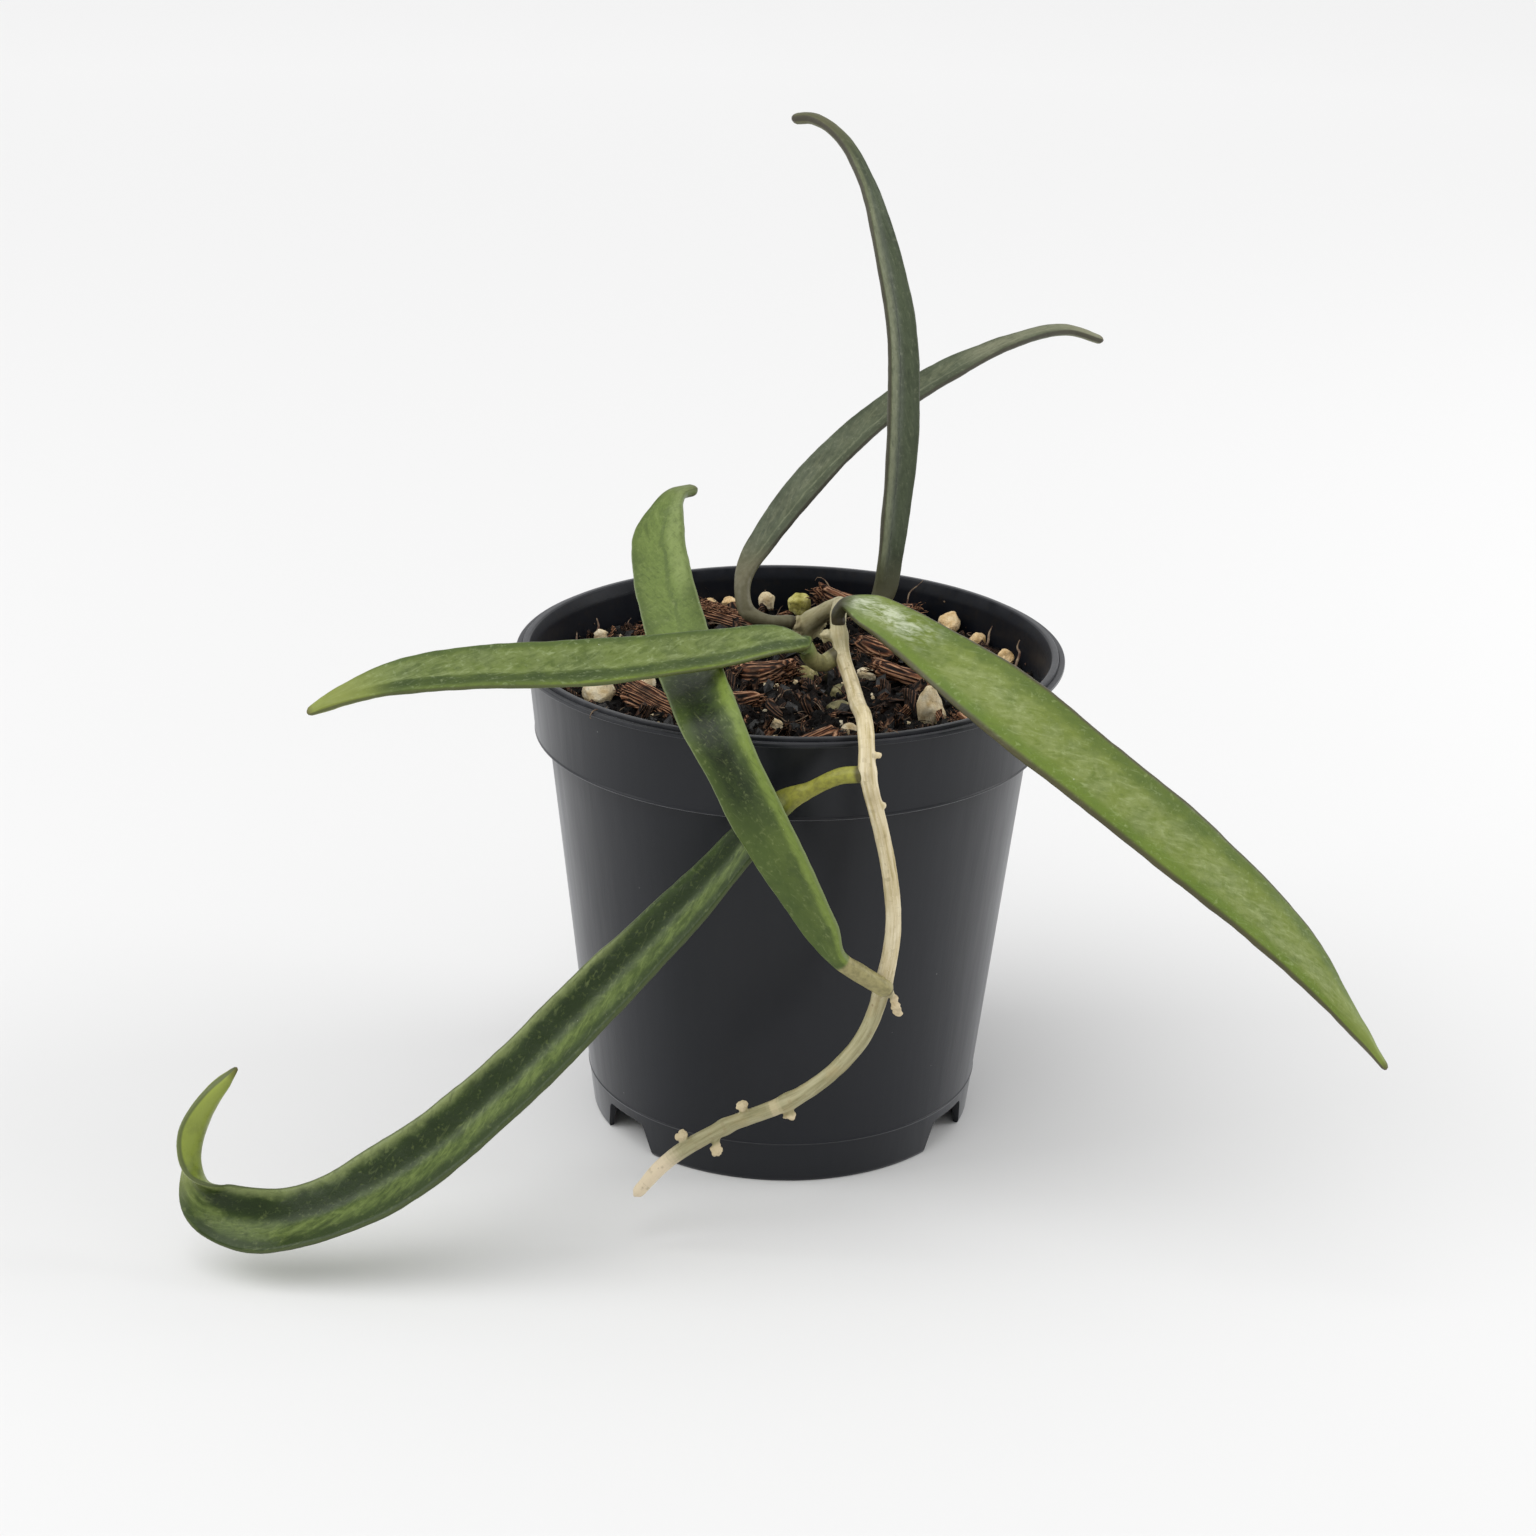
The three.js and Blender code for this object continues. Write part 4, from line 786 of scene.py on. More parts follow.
def makeLeaf(name, leaf):
    start, way, _ = petioleStart(leaf)
    line = np.array(leaf["line"], float)
    line[0] = start + way * leaf["root"]
    shares = np.linspace(0, leafShape["end"], leafShape["stations"])
    spots, centre, along, length = walkLine(line, shares)
    up = smoothRow(leaf["face"], spots)
    up = unit(up - along * np.sum(up * along, axis=1, keepdims=True))
    crosswise = np.cross(up, along)
    half = smoothNumbers(leaf["half"], spots)
    distance = shares * length
    opened = smoothStep(0, 1, (distance - leaf["petioleLength"] * leafShape["openFrom"])
                        / leaf["opening"])
    depth = leaf["petioleRadius"] + (leaf["thickness"] / 2 - leaf["petioleRadius"]) * opened
    depth = np.minimum(depth, half * leafShape["thickest"])
    tipRun = np.clip((length - distance) / (leafShape["tipReach"] * half[-1]), 0, 1)
    tipping = np.sqrt(np.clip(1 - (1 - tipRun) ** 2, 0.0, 1))
    wander = noiseAt(centre + 7.3, leafShape["wanderSize"], 2) * leafShape["wander"] * opened
    cosine, sine = roundTurns(leafShape["sides"])
    # fuller than an ellipse towards the margins, as a fleshy leaf is
    acrossShape = np.sign(cosine) * np.abs(cosine) ** leafShape["marginFull"]
    width = (half * (1 + wander) * tipping)[:, None] * acrossShape
    folded = leaf["fold"] * opened[:, None] * (np.hypot(width, 1) - 1
                                               - leafShape["lowered"] * half[:, None])
    swell = (depth * tipping)[:, None] * (np.sign(sine) * np.abs(sine) ** leafShape["faceFull"])
    top = np.clip(sine, 0, 1) ** 0.5
    offRim = (np.abs(cosine) - leafShape["rimPlace"]) / leafShape["rimWidth"]
    rimRise = leafShape["rimRise"] * np.exp(-offRim ** 2)
    detail = (opened * tipping)[:, None] * rimRise * top
    rise = folded + swell + detail
    rings = centre[:, None] + crosswise[:, None] * width[..., None] + up[:, None] * rise[..., None]
    place = np.stack(np.broadcast_arrays(distance[:, None], cosine, sine), axis=2)
    # the petiole's foot is a dome that sits on or in the vine, so that no gap shows at the joint
    radius, middle = leaf["petioleRadius"], rings[0].mean(0)
    root, rootPlace = [], []
    for back in leafShape["foot"]:
        narrow = (rings[0] - middle) * math.sqrt(1 - back ** 2)
        root.append(middle + narrow - along[0] * back * radius)
        rootPlace.append(place[0] - [back * radius, 0, 0])
    rings, place = np.concatenate([root, rings]), np.concatenate([rootPlace, place])
    points = skinPoints(rings, rings[0].mean(0), smoothRow(line, np.array([1.0]))[0])
    piece = newPiece(name + "_blade", points, skinFaces(len(rings), len(cosine)),
                     leafSkin(name, leaf, length))
    places = skinPoints(place, (-1, 0, 0), (length, 0, 0))
    addVectors(piece, "leafPlace", places)
    # slow swellings and dips of the flesh, and a finer unevenness
    ripple = noiseAt(points, leafShape["rippleSize"], 2) * leafShape["ripple"]
    ripple += noiseAt(points, leafShape["dimpleSize"], 2) * leafShape["dimple"]
    keep = np.clip(places[:, 0] / leafShape["calmFoot"], 0, 1)
    puffOut(piece, points, ripple * keep)
    finishPiece(piece, "old_leaf" if name in collar["leaves"] else "fresh_leaf", name)


for name, leaf in leaves.items():
    makeLeaf(name, leaf)
print("leaves made")


# The vine: a woody tan skin with long pale streaks, greener towards the growing tip.
def vineSkin():
    material, node, fill = newMaterial("woodyVineSkin")
    along, around, height = node("SeparateXYZ",
                                 node("Attribute", attribute_name="vinePlace")["Vector"])
    millimetres = objectMillimetres(node)
    stretched = node("CombineXYZ", node("Math MULTIPLY", along, 0.06),
                     node("Math MULTIPLY", node("Math SINE", around), 0.9),
                     node("Math MULTIPLY", node("Math COSINE", around), 0.9))
    streaks = node("TexNoise", stretched, {"Scale": 2.2, "Detail": 5.0, "Roughness": 0.6})
    cloud = node("TexNoise", millimetres, {"Scale": 0.3, "Detail": 3.0})
    bark = node("ValToRGB", streaks, stops=[(0.32, "#a89868"), (0.46, "#c9ba92"),
                                            (0.64, "#e0d4b4")])
    # olive where the stem is young, below the lowest leaf, and at its foot
    young = node("MapRange SMOOTHSTEP", along, 136, 146, 0, 0.9)
    foot = node("MapRange SMOOTHSTEP", along, 73, 58, 0, 0.8)
    green = node("ValToRGB", streaks, stops=[(0.32, "#7c7953"), (0.66, "#a5a07b")])
    tone = layered(node, bark, (node("Math MAXIMUM", young, foot), green))
    patches = node("MapRange", cloud, 0.5, 0.7, 0, 0.45)
    tone = layered(node, tone, (patches, "#a8976c"))
    tip = node("MapRange SMOOTHSTEP", along, 190, 196, 0, 0.9)
    tone = layered(node, tone, (tip, "#e3d2b5"))
    # knobs of aerial root and the corky collars stand off the stem and are creamier
    knob = node("MapRange SMOOTHSTEP", height, 0.3, 1.2, 0, 0.8)
    outer = node("MapRange", along, 62, 74, 0.2)
    knob = node("Math MULTIPLY", knob, outer)
    tone = layered(node, tone, (knob, "#d2c09c"))
    # a pale corky ring at the lower node
    off = node("Math ABSOLUTE", node("Math SUBTRACT", along, vine["corkyRing"]))
    corky = node("MapRange", off, 1.3, 0.6, 0, 0.6)
    tone = layered(node, tone, (corky, "#c8ba94"))
    # fine cracks across the skin
    ringed = node("CombineXYZ", node("Math MULTIPLY", along, 1.5),
                  node("Math MULTIPLY", around, 0.5))
    crack = node("TexNoise", ringed, {"Scale": 1.0, "Detail": 4.0, "Roughness": 0.65})
    tone = layered(node, tone, (node("MapRange", crack, 0.57, 0.68, 0, 0.5), "#8a7a55"))
    scars = spotMask(node, millimetres, 2.6, 0.3, 0.2)
    tone = layered(node, tone, (node("Math MULTIPLY", scars, 0.6), "#7a6440"))
    relief = node("Math SUBTRACT", streaks, crack)
    fill({
        "Base Color": tone,
        "Roughness": node("MapRange", streaks, 0.3, 0.7, 0.62, 0.45),
        "IOR": 1.45,
        "Normal": node("Bump", {"Height": relief, "Strength": 0.35, "Distance": 0.00012}),
    })
    return material


# A round stub with its own radius at each step, closed at both ends.
def stubRings(start, way, length, radii, sides=16):
    way = unit(np.array(way, float))
    side = np.array([0, 0, 1.0]) if abs(way[2]) < 0.9 else np.array([1.0, 0, 0])
    up = unit(side - way * side.dot(way))
    across = np.cross(up, way)
    cosine, sine = (wave[:, None] for wave in roundTurns(sides))
    circle = cosine * across + sine * up
    shares = np.linspace(0, 1, len(radii))
    start = np.array(start, float)
    return [start + way * length * share + circle * radius
            for share, radius in zip(shares, radii)]


def makeVine():
    line = np.array(vine["line"], float)
    _, length = evenSpots(line, [0])
    count = int(length / vine["step"])
    shares = np.linspace(0, 1, count)
    spots, centre, along, length = walkLine(line, shares)
    radius = smoothNumbers(vine["radius"], spots)
    for joint in vine["joints"]:
        away = (shares * length - joint) / vine["swellingReach"]
        radius = radius + vine["swelling"] * np.exp(-away ** 2)
    up = np.zeros_like(along)
    up[0] = (1, 0, 0)
    for index in range(1, count):   # carried along without twist
        moved = up[index - 1] - along[index] * up[index - 1].dot(along[index])
        up[index] = moved / np.linalg.norm(moved)
    across = np.cross(up, along)
    cosine, sine = (wave[None, :, None] for wave in roundTurns(vine["sides"]))
    circle = cosine * across[:, None] + sine * up[:, None]
    # the tip closes in a small dome
    left = np.clip((1 - shares) * length / vine["tipDome"], 0, 1)
    closing = radius * np.sqrt(1 - (1 - left) ** 2 * vine["tipClose"])
    rings = centre[:, None] + circle * closing[:, None, None]
    bodies = [(rings, centre[0], centre[-1] + along[-1] * 0.3)]
    for name in collar["leaves"]:
        leaf = leaves[name]
        start, way, reach = petioleStart(leaf)
        wide = leaf["petioleRadius"] + collar["flare"]
        radii = [wide * swell for swell in vine["collarSwell"]]
        bodies.append((stubRings(start, way, reach, radii), start, start + way * reach))
    for start, way, reach, wide in vine["nubs"]:
        rings = stubRings(start, way, reach, [wide * swell for swell in vine["nubSwell"]])
        end = np.array(start) + unit(np.array(way, float)) * (reach + 0.2 * wide)
        bodies.append((rings, np.array(start, float), end))
    piece = newPiece("vine_stem", *joinSkins(bodies), vineSkin())
    remesh = piece.modifiers.new("join", "REMESH")
    remesh.mode, remesh.voxel_size = "VOXEL", vine["voxel"] * mm
    relax = piece.modifiers.new("relax", "SMOOTH")
    relax.factor, relax.iterations = 0.5, 5
    settle(piece)
    piece.data.shade_smooth()
    joined = readPoints(piece)
    nearest = np.zeros(len(joined), int)
    for block in range(0, len(joined), 4000):
        gaps = np.linalg.norm(joined[block:block + 4000, None] - centre[None], axis=2)
        nearest[block:block + 4000] = gaps.argmin(1)
    off = joined - centre[nearest]
    around = np.arctan2(np.sum(off * up[nearest], 1), np.sum(off * across[nearest], 1))
    distance = nearest / (count - 1) * length
    lengthwise = along[nearest] * np.sum(off * along[nearest], 1, keepdims=True)
    height = np.linalg.norm(off - lengthwise, axis=1) - radius[nearest]
    addVectors(piece, "vinePlace", np.column_stack([distance, around, height]))
    # ribs that run along the stem, slow lumps, and the fine cracks of its skin
    ribs = noiseAt(np.column_stack([distance * 0.1, np.cos(around) * 1.4, np.sin(around) * 1.4]),
                   1.0, 3)
    lumps = noiseAt(joined, vine["lumpSize"], 3)
    knobs = noiseAt(joined, 1.0, 2, 31.0) * smoothStep(0.3, 1.0, height)
    puffOut(piece, joined, ribs * vine["rib"] + lumps * vine["lump"] + knobs * vine["knob"])
    finishPiece(piece, "vine_stem", "vine")


makeVine()
print("vine made")


# The potting mix: wet black peat and charcoal with a rough, crumbly top.
mix = {"edgeHeight": 84.6, "crown": 1.2, "grid": 236, "relief": 1.8, "lump": 4.2, "crumb": 1.2,
       "pitSize": 4.6, "pitDepth": 3.8, "crumbRelief": 0.45, "wallGap": 0.15, "hollow": 1.3,
       "seat": 0.35, "slope": 6, "wallHeights": (77.9, 75.5, 40.0)}


def peatSkin():
    material, node, fill = newMaterial("wetPeatAndCharcoal")
    millimetres = objectMillimetres(node)
    broad = node("TexNoise", millimetres, {"Scale": 0.35, "Detail": 5.0, "Roughness": 0.7})
    fine = node("TexNoise", millimetres, {"Scale": 2.2, "Detail": 4.0})
    tone = node("ValToRGB", broad, stops=[(0.42, "#040303"), (0.58, "#0c0807"), (0.74, "#20150f")])
    tone = layered(node, tone, (node("MapRange", fine, 0.58, 0.75, 0, 0.4), "#2a1c14"))
    tone = layered(node, tone, (spotMask(node, millimetres, 1.9, 0.16, 0.12), "#b6a582"))
    fill({
        "Base Color": tone,
        "Roughness": node("MapRange", broad, 0.35, 0.6, 0.42, 0.9),
        # crumbly peat traps the light, so little of it is mirrored
        "Specular IOR Level": 0.16,
        "Normal": node("Bump", {"Height": fine, "Strength": 0.8, "Distance": 0.0005}),
    })
    return material


# Inside radius of the pot at a height in the mix.
def insideRadius(height):
    rows = [(c[1], c[0]) for c in potCorners()[-6:-1]][::-1]
    return np.interp(height, [row[0] for row in rows], [row[1] for row in rows])


# Bends what would reach through the pot's wall up against the inside of it.
def keepInside(piece):
    points = readPoints(piece)
    wall = insideRadius(points[:, 2]) - mix["wallGap"]
    reach = np.maximum(np.hypot(points[:, 0], points[:, 1]), 1)
    points[:, :2] *= np.minimum(1, wall / reach)[:, None]
    writePoints(piece, points)
    return piece


def mixHeight(points):
    radius = np.hypot(points[:, 0], points[:, 1]) / insideRadius(mix["edgeHeight"])
    return mix["edgeHeight"] + mix["crown"] * (1 - radius ** 2)


def makeMix():
    count = mix["grid"]
    steps = np.linspace(-1, 1, count + 1)
    a, b = (grid.ravel() for grid in np.meshgrid(steps, steps, indexing="ij"))
    # an even grid pressed from a square into a disc
    wideA = np.abs(a) >= np.abs(b)
    radius = np.where(wideA, a, b)
    with np.errstate(divide="ignore", invalid="ignore"):
        turn = np.where(wideA, np.pi / 4 * b / a, np.pi / 2 - np.pi / 4 * a / b)
    turn = np.nan_to_num(turn)
    reach = insideRadius(mix["edgeHeight"]) - mix["wallGap"]
    flat = np.column_stack([radius * np.cos(turn) * reach, radius * np.sin(turn) * reach,
                            np.zeros(len(a))])
    lumps = noiseAt(flat, mix["lump"], 4)
    crumbs = noiseAt(flat, mix["crumb"], 3, 40.0)
    pits = -np.clip(noiseAt(flat, mix["pitSize"], 2, 80.0), 0, 1) * mix["pitDepth"]
    top = flat.copy()
    top[:, 2] = mixHeight(flat) + mix["relief"] * lumps + mix["crumbRelief"] * crumbs + pits
    # the mix is hollowed round each loose piece, which lies on it and isn't buried
    clear = np.ones(len(flat))
    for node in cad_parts:
        if node.startswith(("pumice", "gravel", "bark")):
            low, high = (np.array(corner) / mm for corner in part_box(node))
            middle, half = (low + high) / 2, (high - low) / 2
            away = np.linalg.norm((flat[:, :2] - middle[:2]) / (half[:2] * mix["hollow"]), axis=1)
            floor = middle[2] - mix["seat"] * half[2] + np.maximum(away - 0.8, 0) * mix["slope"]
            top[:, 2] = np.minimum(top[:, 2], np.where(away < 1.6, floor, 99))
            clear[away < (0.65 if node.startswith("bark") else 1.05)] = 0
    faces = []
    for i in range(count):
        for j in range(count):
            corner = i * (count + 1) + j
            faces.append((corner, corner + count + 1, corner + count + 2, corner + 1))
    # the root ball below follows the inside of the pot
    index = np.arange((count + 1) ** 2).reshape(count + 1, count + 1)
    border = np.concatenate([index[:-1, 0], index[-1, :-1], index[:0:-1, -1], index[0, :0:-1]])
    points = [top]
    above = border
    total = len(top)
    floorTop = pot["floorHeight"] + pot["floorThickness"]
    for height in (*mix["wallHeights"], floorTop + pot["wall"], floorTop + 0.3):
        inset = pot["wall"] if height < floorTop + 1 else mix["wallGap"]
        wide = insideRadius(height) - inset
        points.append(np.column_stack([unit(flat[border, :2]) * wide,
                                       np.full(len(border), height)]))
        below = np.arange(total, total + len(border))
        total += len(border)
        for k in range(len(border)):
            after = (k + 1) % len(border)
            faces.append((above[k], below[k], below[after], above[after]))
        above = below
    faces.append(tuple(int(corner) for corner in above[::-1]))
    piece = newPiece("mix_surface", np.vstack(points), faces, peatSkin())
    faceOutwards(piece)
    area = np.zeros(total, np.float32)
    area[:len(top)] = clear * (np.hypot(flat[:, 0], flat[:, 1]) < reach * 0.985)
    markArea(piece, area)
    return finishPiece(piece, "potting_mix", "soil")


mixSurface = makeMix()
print("mix made")


# Loose skins: pumice, gravel and bark.
def stoneSkin(name, colours, pore, roughness):
    material, node, fill = newMaterial(name)
    millimetres = objectMillimetres(node)
    broad = node("TexNoise", millimetres, {"Scale": 0.5, "Detail": 5.0, "Roughness": 0.65})
    fine = node("TexNoise", millimetres, {"Scale": 3.5, "Detail": 4.0, "Roughness": 0.7})
    tone = node("ValToRGB", broad, stops=list(zip((0.34, 0.5, 0.66), colours)))
    holes = node("MapRange", fine, 0.44, 0.34, 0, pore)
    tone = layered(node, tone, (holes, "#5d4c35"))
    pits = spotMask(node, millimetres, 0.9, 0.16, 0.35)
    tone = layered(node, tone, (node("Math MULTIPLY", pits, pore), "#54432f"))
    height = node("Math SUBTRACT", fine, pits)
    fill({"Base Color": tone, "Roughness": roughness,
          "Normal": node("Bump", {"Height": height, "Strength": 0.7, "Distance": 0.0003})})
    return material


# Bark is all fibre: fine ridges run along the chip. Its skin is paler on their crests and black
# between them, partly the fibres' own tone and partly a painted highlight and painted shade that
# follow the ridges' height.
def barkSkin(name, stops):
    material, node, fill = newMaterial(name)
    length, width, height = node("SeparateXYZ",
                                 node("Attribute", attribute_name="chipPlace")["Vector"])
    stretched = node("CombineXYZ", node("Math MULTIPLY", length, 0.1),
                     node("Math ADD", width, height), height)
    ridges = node("TexWave", stretched, {"Scale": 0.55, "Distortion": 5.0, "Detail": 3.0,
                                         "Detail Scale": 1.6, "Detail Roughness": 0.6},
                  wave_type="BANDS", bands_direction="Y")[1]
    fibres = node("TexNoise", stretched, {"Scale": 2.4, "Detail": 5.0, "Roughness": 0.7})
    crest = node("Math ADD", node("Math MULTIPLY", ridges, 0.45),
                 node("Math MULTIPLY", fibres, 0.6))
    broad = node("TexNoise", objectMillimetres(node), {"Scale": 0.25, "Detail": 3.0})
    tone = node("ValToRGB", crest, stops=stops)
    tone = layered(node, tone, (node("MapRange", broad, 0.54, 0.68, 0, 0.75), "#1a100b"))
    # this attribute is 1 down in the cracks between the large ridges, and 0 on pieces that have
    # none; it paints shade into the cracks
    gap = node("SeparateXYZ", node("Attribute", attribute_name="chipGap")["Vector"])
    tone = layered(node, tone, (node("MapRange", gap, 0.45, 0.85, 0, 0.85), "#0c0705"))
    fill({"Base Color": tone, "Roughness": 0.7, "Specular IOR Level": 0.25,
          "Normal": node("Bump", {"Height": crest, "Strength": 1.0, "Distance": 0.0006})})
    return material


stoneSkins = {
    "pumice": stoneSkin("pumiceGrain", ("#c0a87c", "#dccaa4", "#efe4c8"), 0.35, 0.9),
    "warm": stoneSkin("ironStainedPumice", ("#bd9a63", "#e0c190", "#f2dcb2"), 0.3, 0.9),
    "yellow": stoneSkin("algaeStainedPumice", ("#a29a45", "#c6be66", "#ded892"), 0.6, 0.85),
    "olive": stoneSkin("oliveGravel", ("#4c4a2c", "#75704a", "#a1996b"), 0.4, 0.6),
    "mossy": stoneSkin("mossyPumice", ("#6f7040", "#a59c66", "#cfc496"), 0.7, 0.85),
    "bark": barkSkin("fibrousBark", [(0.3, "#130a06"), (0.46, "#5f3824"), (0.62, "#9a6848"),
                                     (0.8, "#cfa482")]),
    "wetBark": barkSkin("wetFibrousBark", [(0.35, "#060403"), (0.52, "#24160f"), (0.68, "#4d3426"),
                                           (0.84, "#977459")]),
}
stoneLooks = {"pumice_03": "warm", "pumice_04": "warm", "pumice_10": "warm", "pumice_11": "warm",
              "pumice_12": "warm", "pumice_13": "yellow", "gravel_01": "mossy",
              "gravel_02": "olive", "gravel_03": "olive"}
stoneShape = {"cuts": 7, "cutPlace": (0.62, 0.85), "flattened": 0.9, "knob": 0.09, "pore": 0.1,
              "smoothPore": 0.05, "swell": 0.09}


# A finer copy of a CAD node: its loose triangles are merged, then subdivided.
def finerCopy(node, name, levels, simple, material):
    piece = addObject(name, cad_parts[node].data.copy())
    faceOutwards(piece, merge=True)
    piece.data.materials.clear()
    piece.data.materials.append(material)
    for kind, count in (("SIMPLE", simple), ("CATMULL_CLARK", levels)):
        if count:
            finer = piece.modifiers.new(kind.lower(), "SUBSURF")
            finer.subdivision_type, finer.levels, finer.render_levels = kind, count, count
    settle(piece)
    piece.data.shade_smooth()
    return piece


def makeStones():
    for node in sorted(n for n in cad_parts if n.startswith(("pumice", "gravel"))):
        look = stoneLooks.get(node, "pumice")
        piece = finerCopy(node, node + "_grain", 3, 0, stoneSkins[look])
        points = readPoints(piece)
        size = np.ptp(points, axis=0).max() / 2
        shift = float(sum(map(ord, node)) % 97)
        # broken faces: the grain is pressed flat on a few random sides
        draw = np.random.default_rng(int(shift))
        middle = points.mean(0)
        for _ in range(stoneShape["cuts"]):
            way = unit(draw.normal(size=3))
            far = (points - middle) @ way
            limit = draw.uniform(*stoneShape["cutPlace"]) * far.max()
            points = points - np.outer(np.maximum(far - limit, 0) * stoneShape["flattened"], way)
        writePoints(piece, points)
        knobs = noiseAt(points, size * 0.7, 2, shift) * stoneShape["knob"] * size
        pore = stoneShape["smoothPore" if look == "olive" else "pore"]
        pores = np.clip(noiseAt(points, 0.75, 3, shift), -1, 0.1) * pore
        swell = stoneShape["swell"] * size
        puffOut(piece, points, knobs + pores + swell)
        finishPiece(piece, "gravel" if node.startswith("gravel") else "pumice", node)


# Fibres lie along a chip, split it into ridges and stand out of its ragged ends.
chip = {
    "ridgeSpacing": 0.8, "ridgeDepth": 0.42, "fineDepth": 0.16, "splinter": 1.6, "raggedFrom": 0.72,
    "strands": 60, "strandRadius": 0.14, "strandLength": (2.0, 5.5), "raise": 0.8, "steeper": 0.25,
    "flat": ("bark_04",),   # this one lies under two grains, so it isn't raised
}


def makeChips():
    draw = np.random.default_rng(42)
    strands, strandPlaces = [], []
    for node in sorted(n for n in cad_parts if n.startswith("bark")):
        piece = finerCopy(node, node + "_chip", 2, 1, stoneSkins["bark"])
        points = readPoints(piece)
        middle = points.mean(0)
        _, _, axes = np.linalg.svd(points - middle, full_matrices=False)
        local = (points - middle) @ axes.T
        reach = np.abs(local[:, 0]).max()
        shift = float(sum(map(ord, node)) % 89)
        sway = noiseAt(local * [0.25, 1, 1], 2.0, 2, shift) * 1.6
        wave = local[:, 1] / chip["ridgeSpacing"] + sway
        ridges = np.abs(np.sin(wave * np.pi / 2)) ** 0.6 - 0.5
        fine = noiseAt(local * [0.15, 1, 1], 0.6, 3, shift)
        ends = smoothStep(chip["raggedFrom"], 1.0, np.abs(local[:, 0]) / reach)
        section = np.column_stack([local[:, 1], local[:, 2], np.zeros(len(local))])
        teeth = noiseAt(section, 0.7, 2, shift)
        relief = chip["ridgeDepth"] * ridges + chip["fineDepth"] * fine
        moved = points + readRows(piece, "normal") * relief[:, None]
        moved += np.outer(np.sign(local[:, 0]) * ends * teeth * chip["splinter"], axes[0])
        if node not in chip["flat"]:
            moved[:, 2] += chip["raise"] + chip["steeper"] * (moved[:, 2] - middle[2])
        writePoints(piece, moved)
        keepInside(piece)
        addVectors(piece, "chipPlace", local + shift)
        # how deep each point lies in a crack, for the painted shade in the bark's skin
        gap = 0.5 - ridges
        addVectors(piece, "chipGap", np.column_stack([gap, gap, gap]))
        finishPiece(piece, "bark", node)
        # loose strands over the top of this chip
        upper = local[points[:, 2] > middle[2] + (0.6 if node in chip["flat"] else -0.3)]
        for _ in range(chip["strands"]):
            root = upper[draw.integers(len(upper))]
            length = draw.uniform(*chip["strandLength"])
            way = unit(np.array([np.sign(root[0] or 1.0), draw.normal(0, 0.28),
                                 draw.normal(0, 0.12)]))
            lift = axes[2] if axes[2][2] > 0 else -axes[2]
            steps = np.linspace(0, 1, 6)[:, None]
            rise = lift * (0.25 + 0.5 * steps * draw.uniform(-0.3, 1.2))
            path = middle + (root + way * length * (steps - 0.4)) @ axes + rise
            path = path + draw.normal(0, 0.12, (6, 3))
            strands.append((path, chip["strandRadius"] * draw.uniform(0.6, 1.3)))
            strandPlaces.append(shift + draw.uniform(0, 9))
    return strands, strandPlaces


# Thin tapered tubes along short paths, as one piece.
def makeStrands(name, strands, seeds, material, sides=4):
    cosine, sine = (wave[:, None] for wave in roundTurns(sides))
    bodies = []
    for path, radius in strands:
        path = np.asarray(path, float)
        way = unit(np.gradient(path, axis=0))
        side = unit(np.cross(way, (0.3, 0.2, 1.0)))
        over = np.cross(way, side)
        taper = np.sin(np.linspace(0.25, 0.9, len(path)) * np.pi) * radius
        rings = [path[k] + cosine * side[k] * taper[k] + sine * over[k] * taper[k]
                 for k in range(len(path))]
        bodies.append((rings, path[0], path[-1]))
    points, faces = joinSkins(bodies)
    piece = newPiece(name, points, faces, material)
    faceOutwards(piece)
    # each strand has its own shift of the pattern
    counts = [len(rings) * sides + 2 for rings, _, _ in bodies]
    addVectors(piece, "chipPlace", points + np.repeat(seeds, counts)[:, None])
    return piece


makeStones()
strands, strandSeeds = makeChips()
finishPiece(keepInside(makeStrands("bark_strands", strands, strandSeeds, stoneSkins["bark"])),
            "bark")
print("stones and bark made")


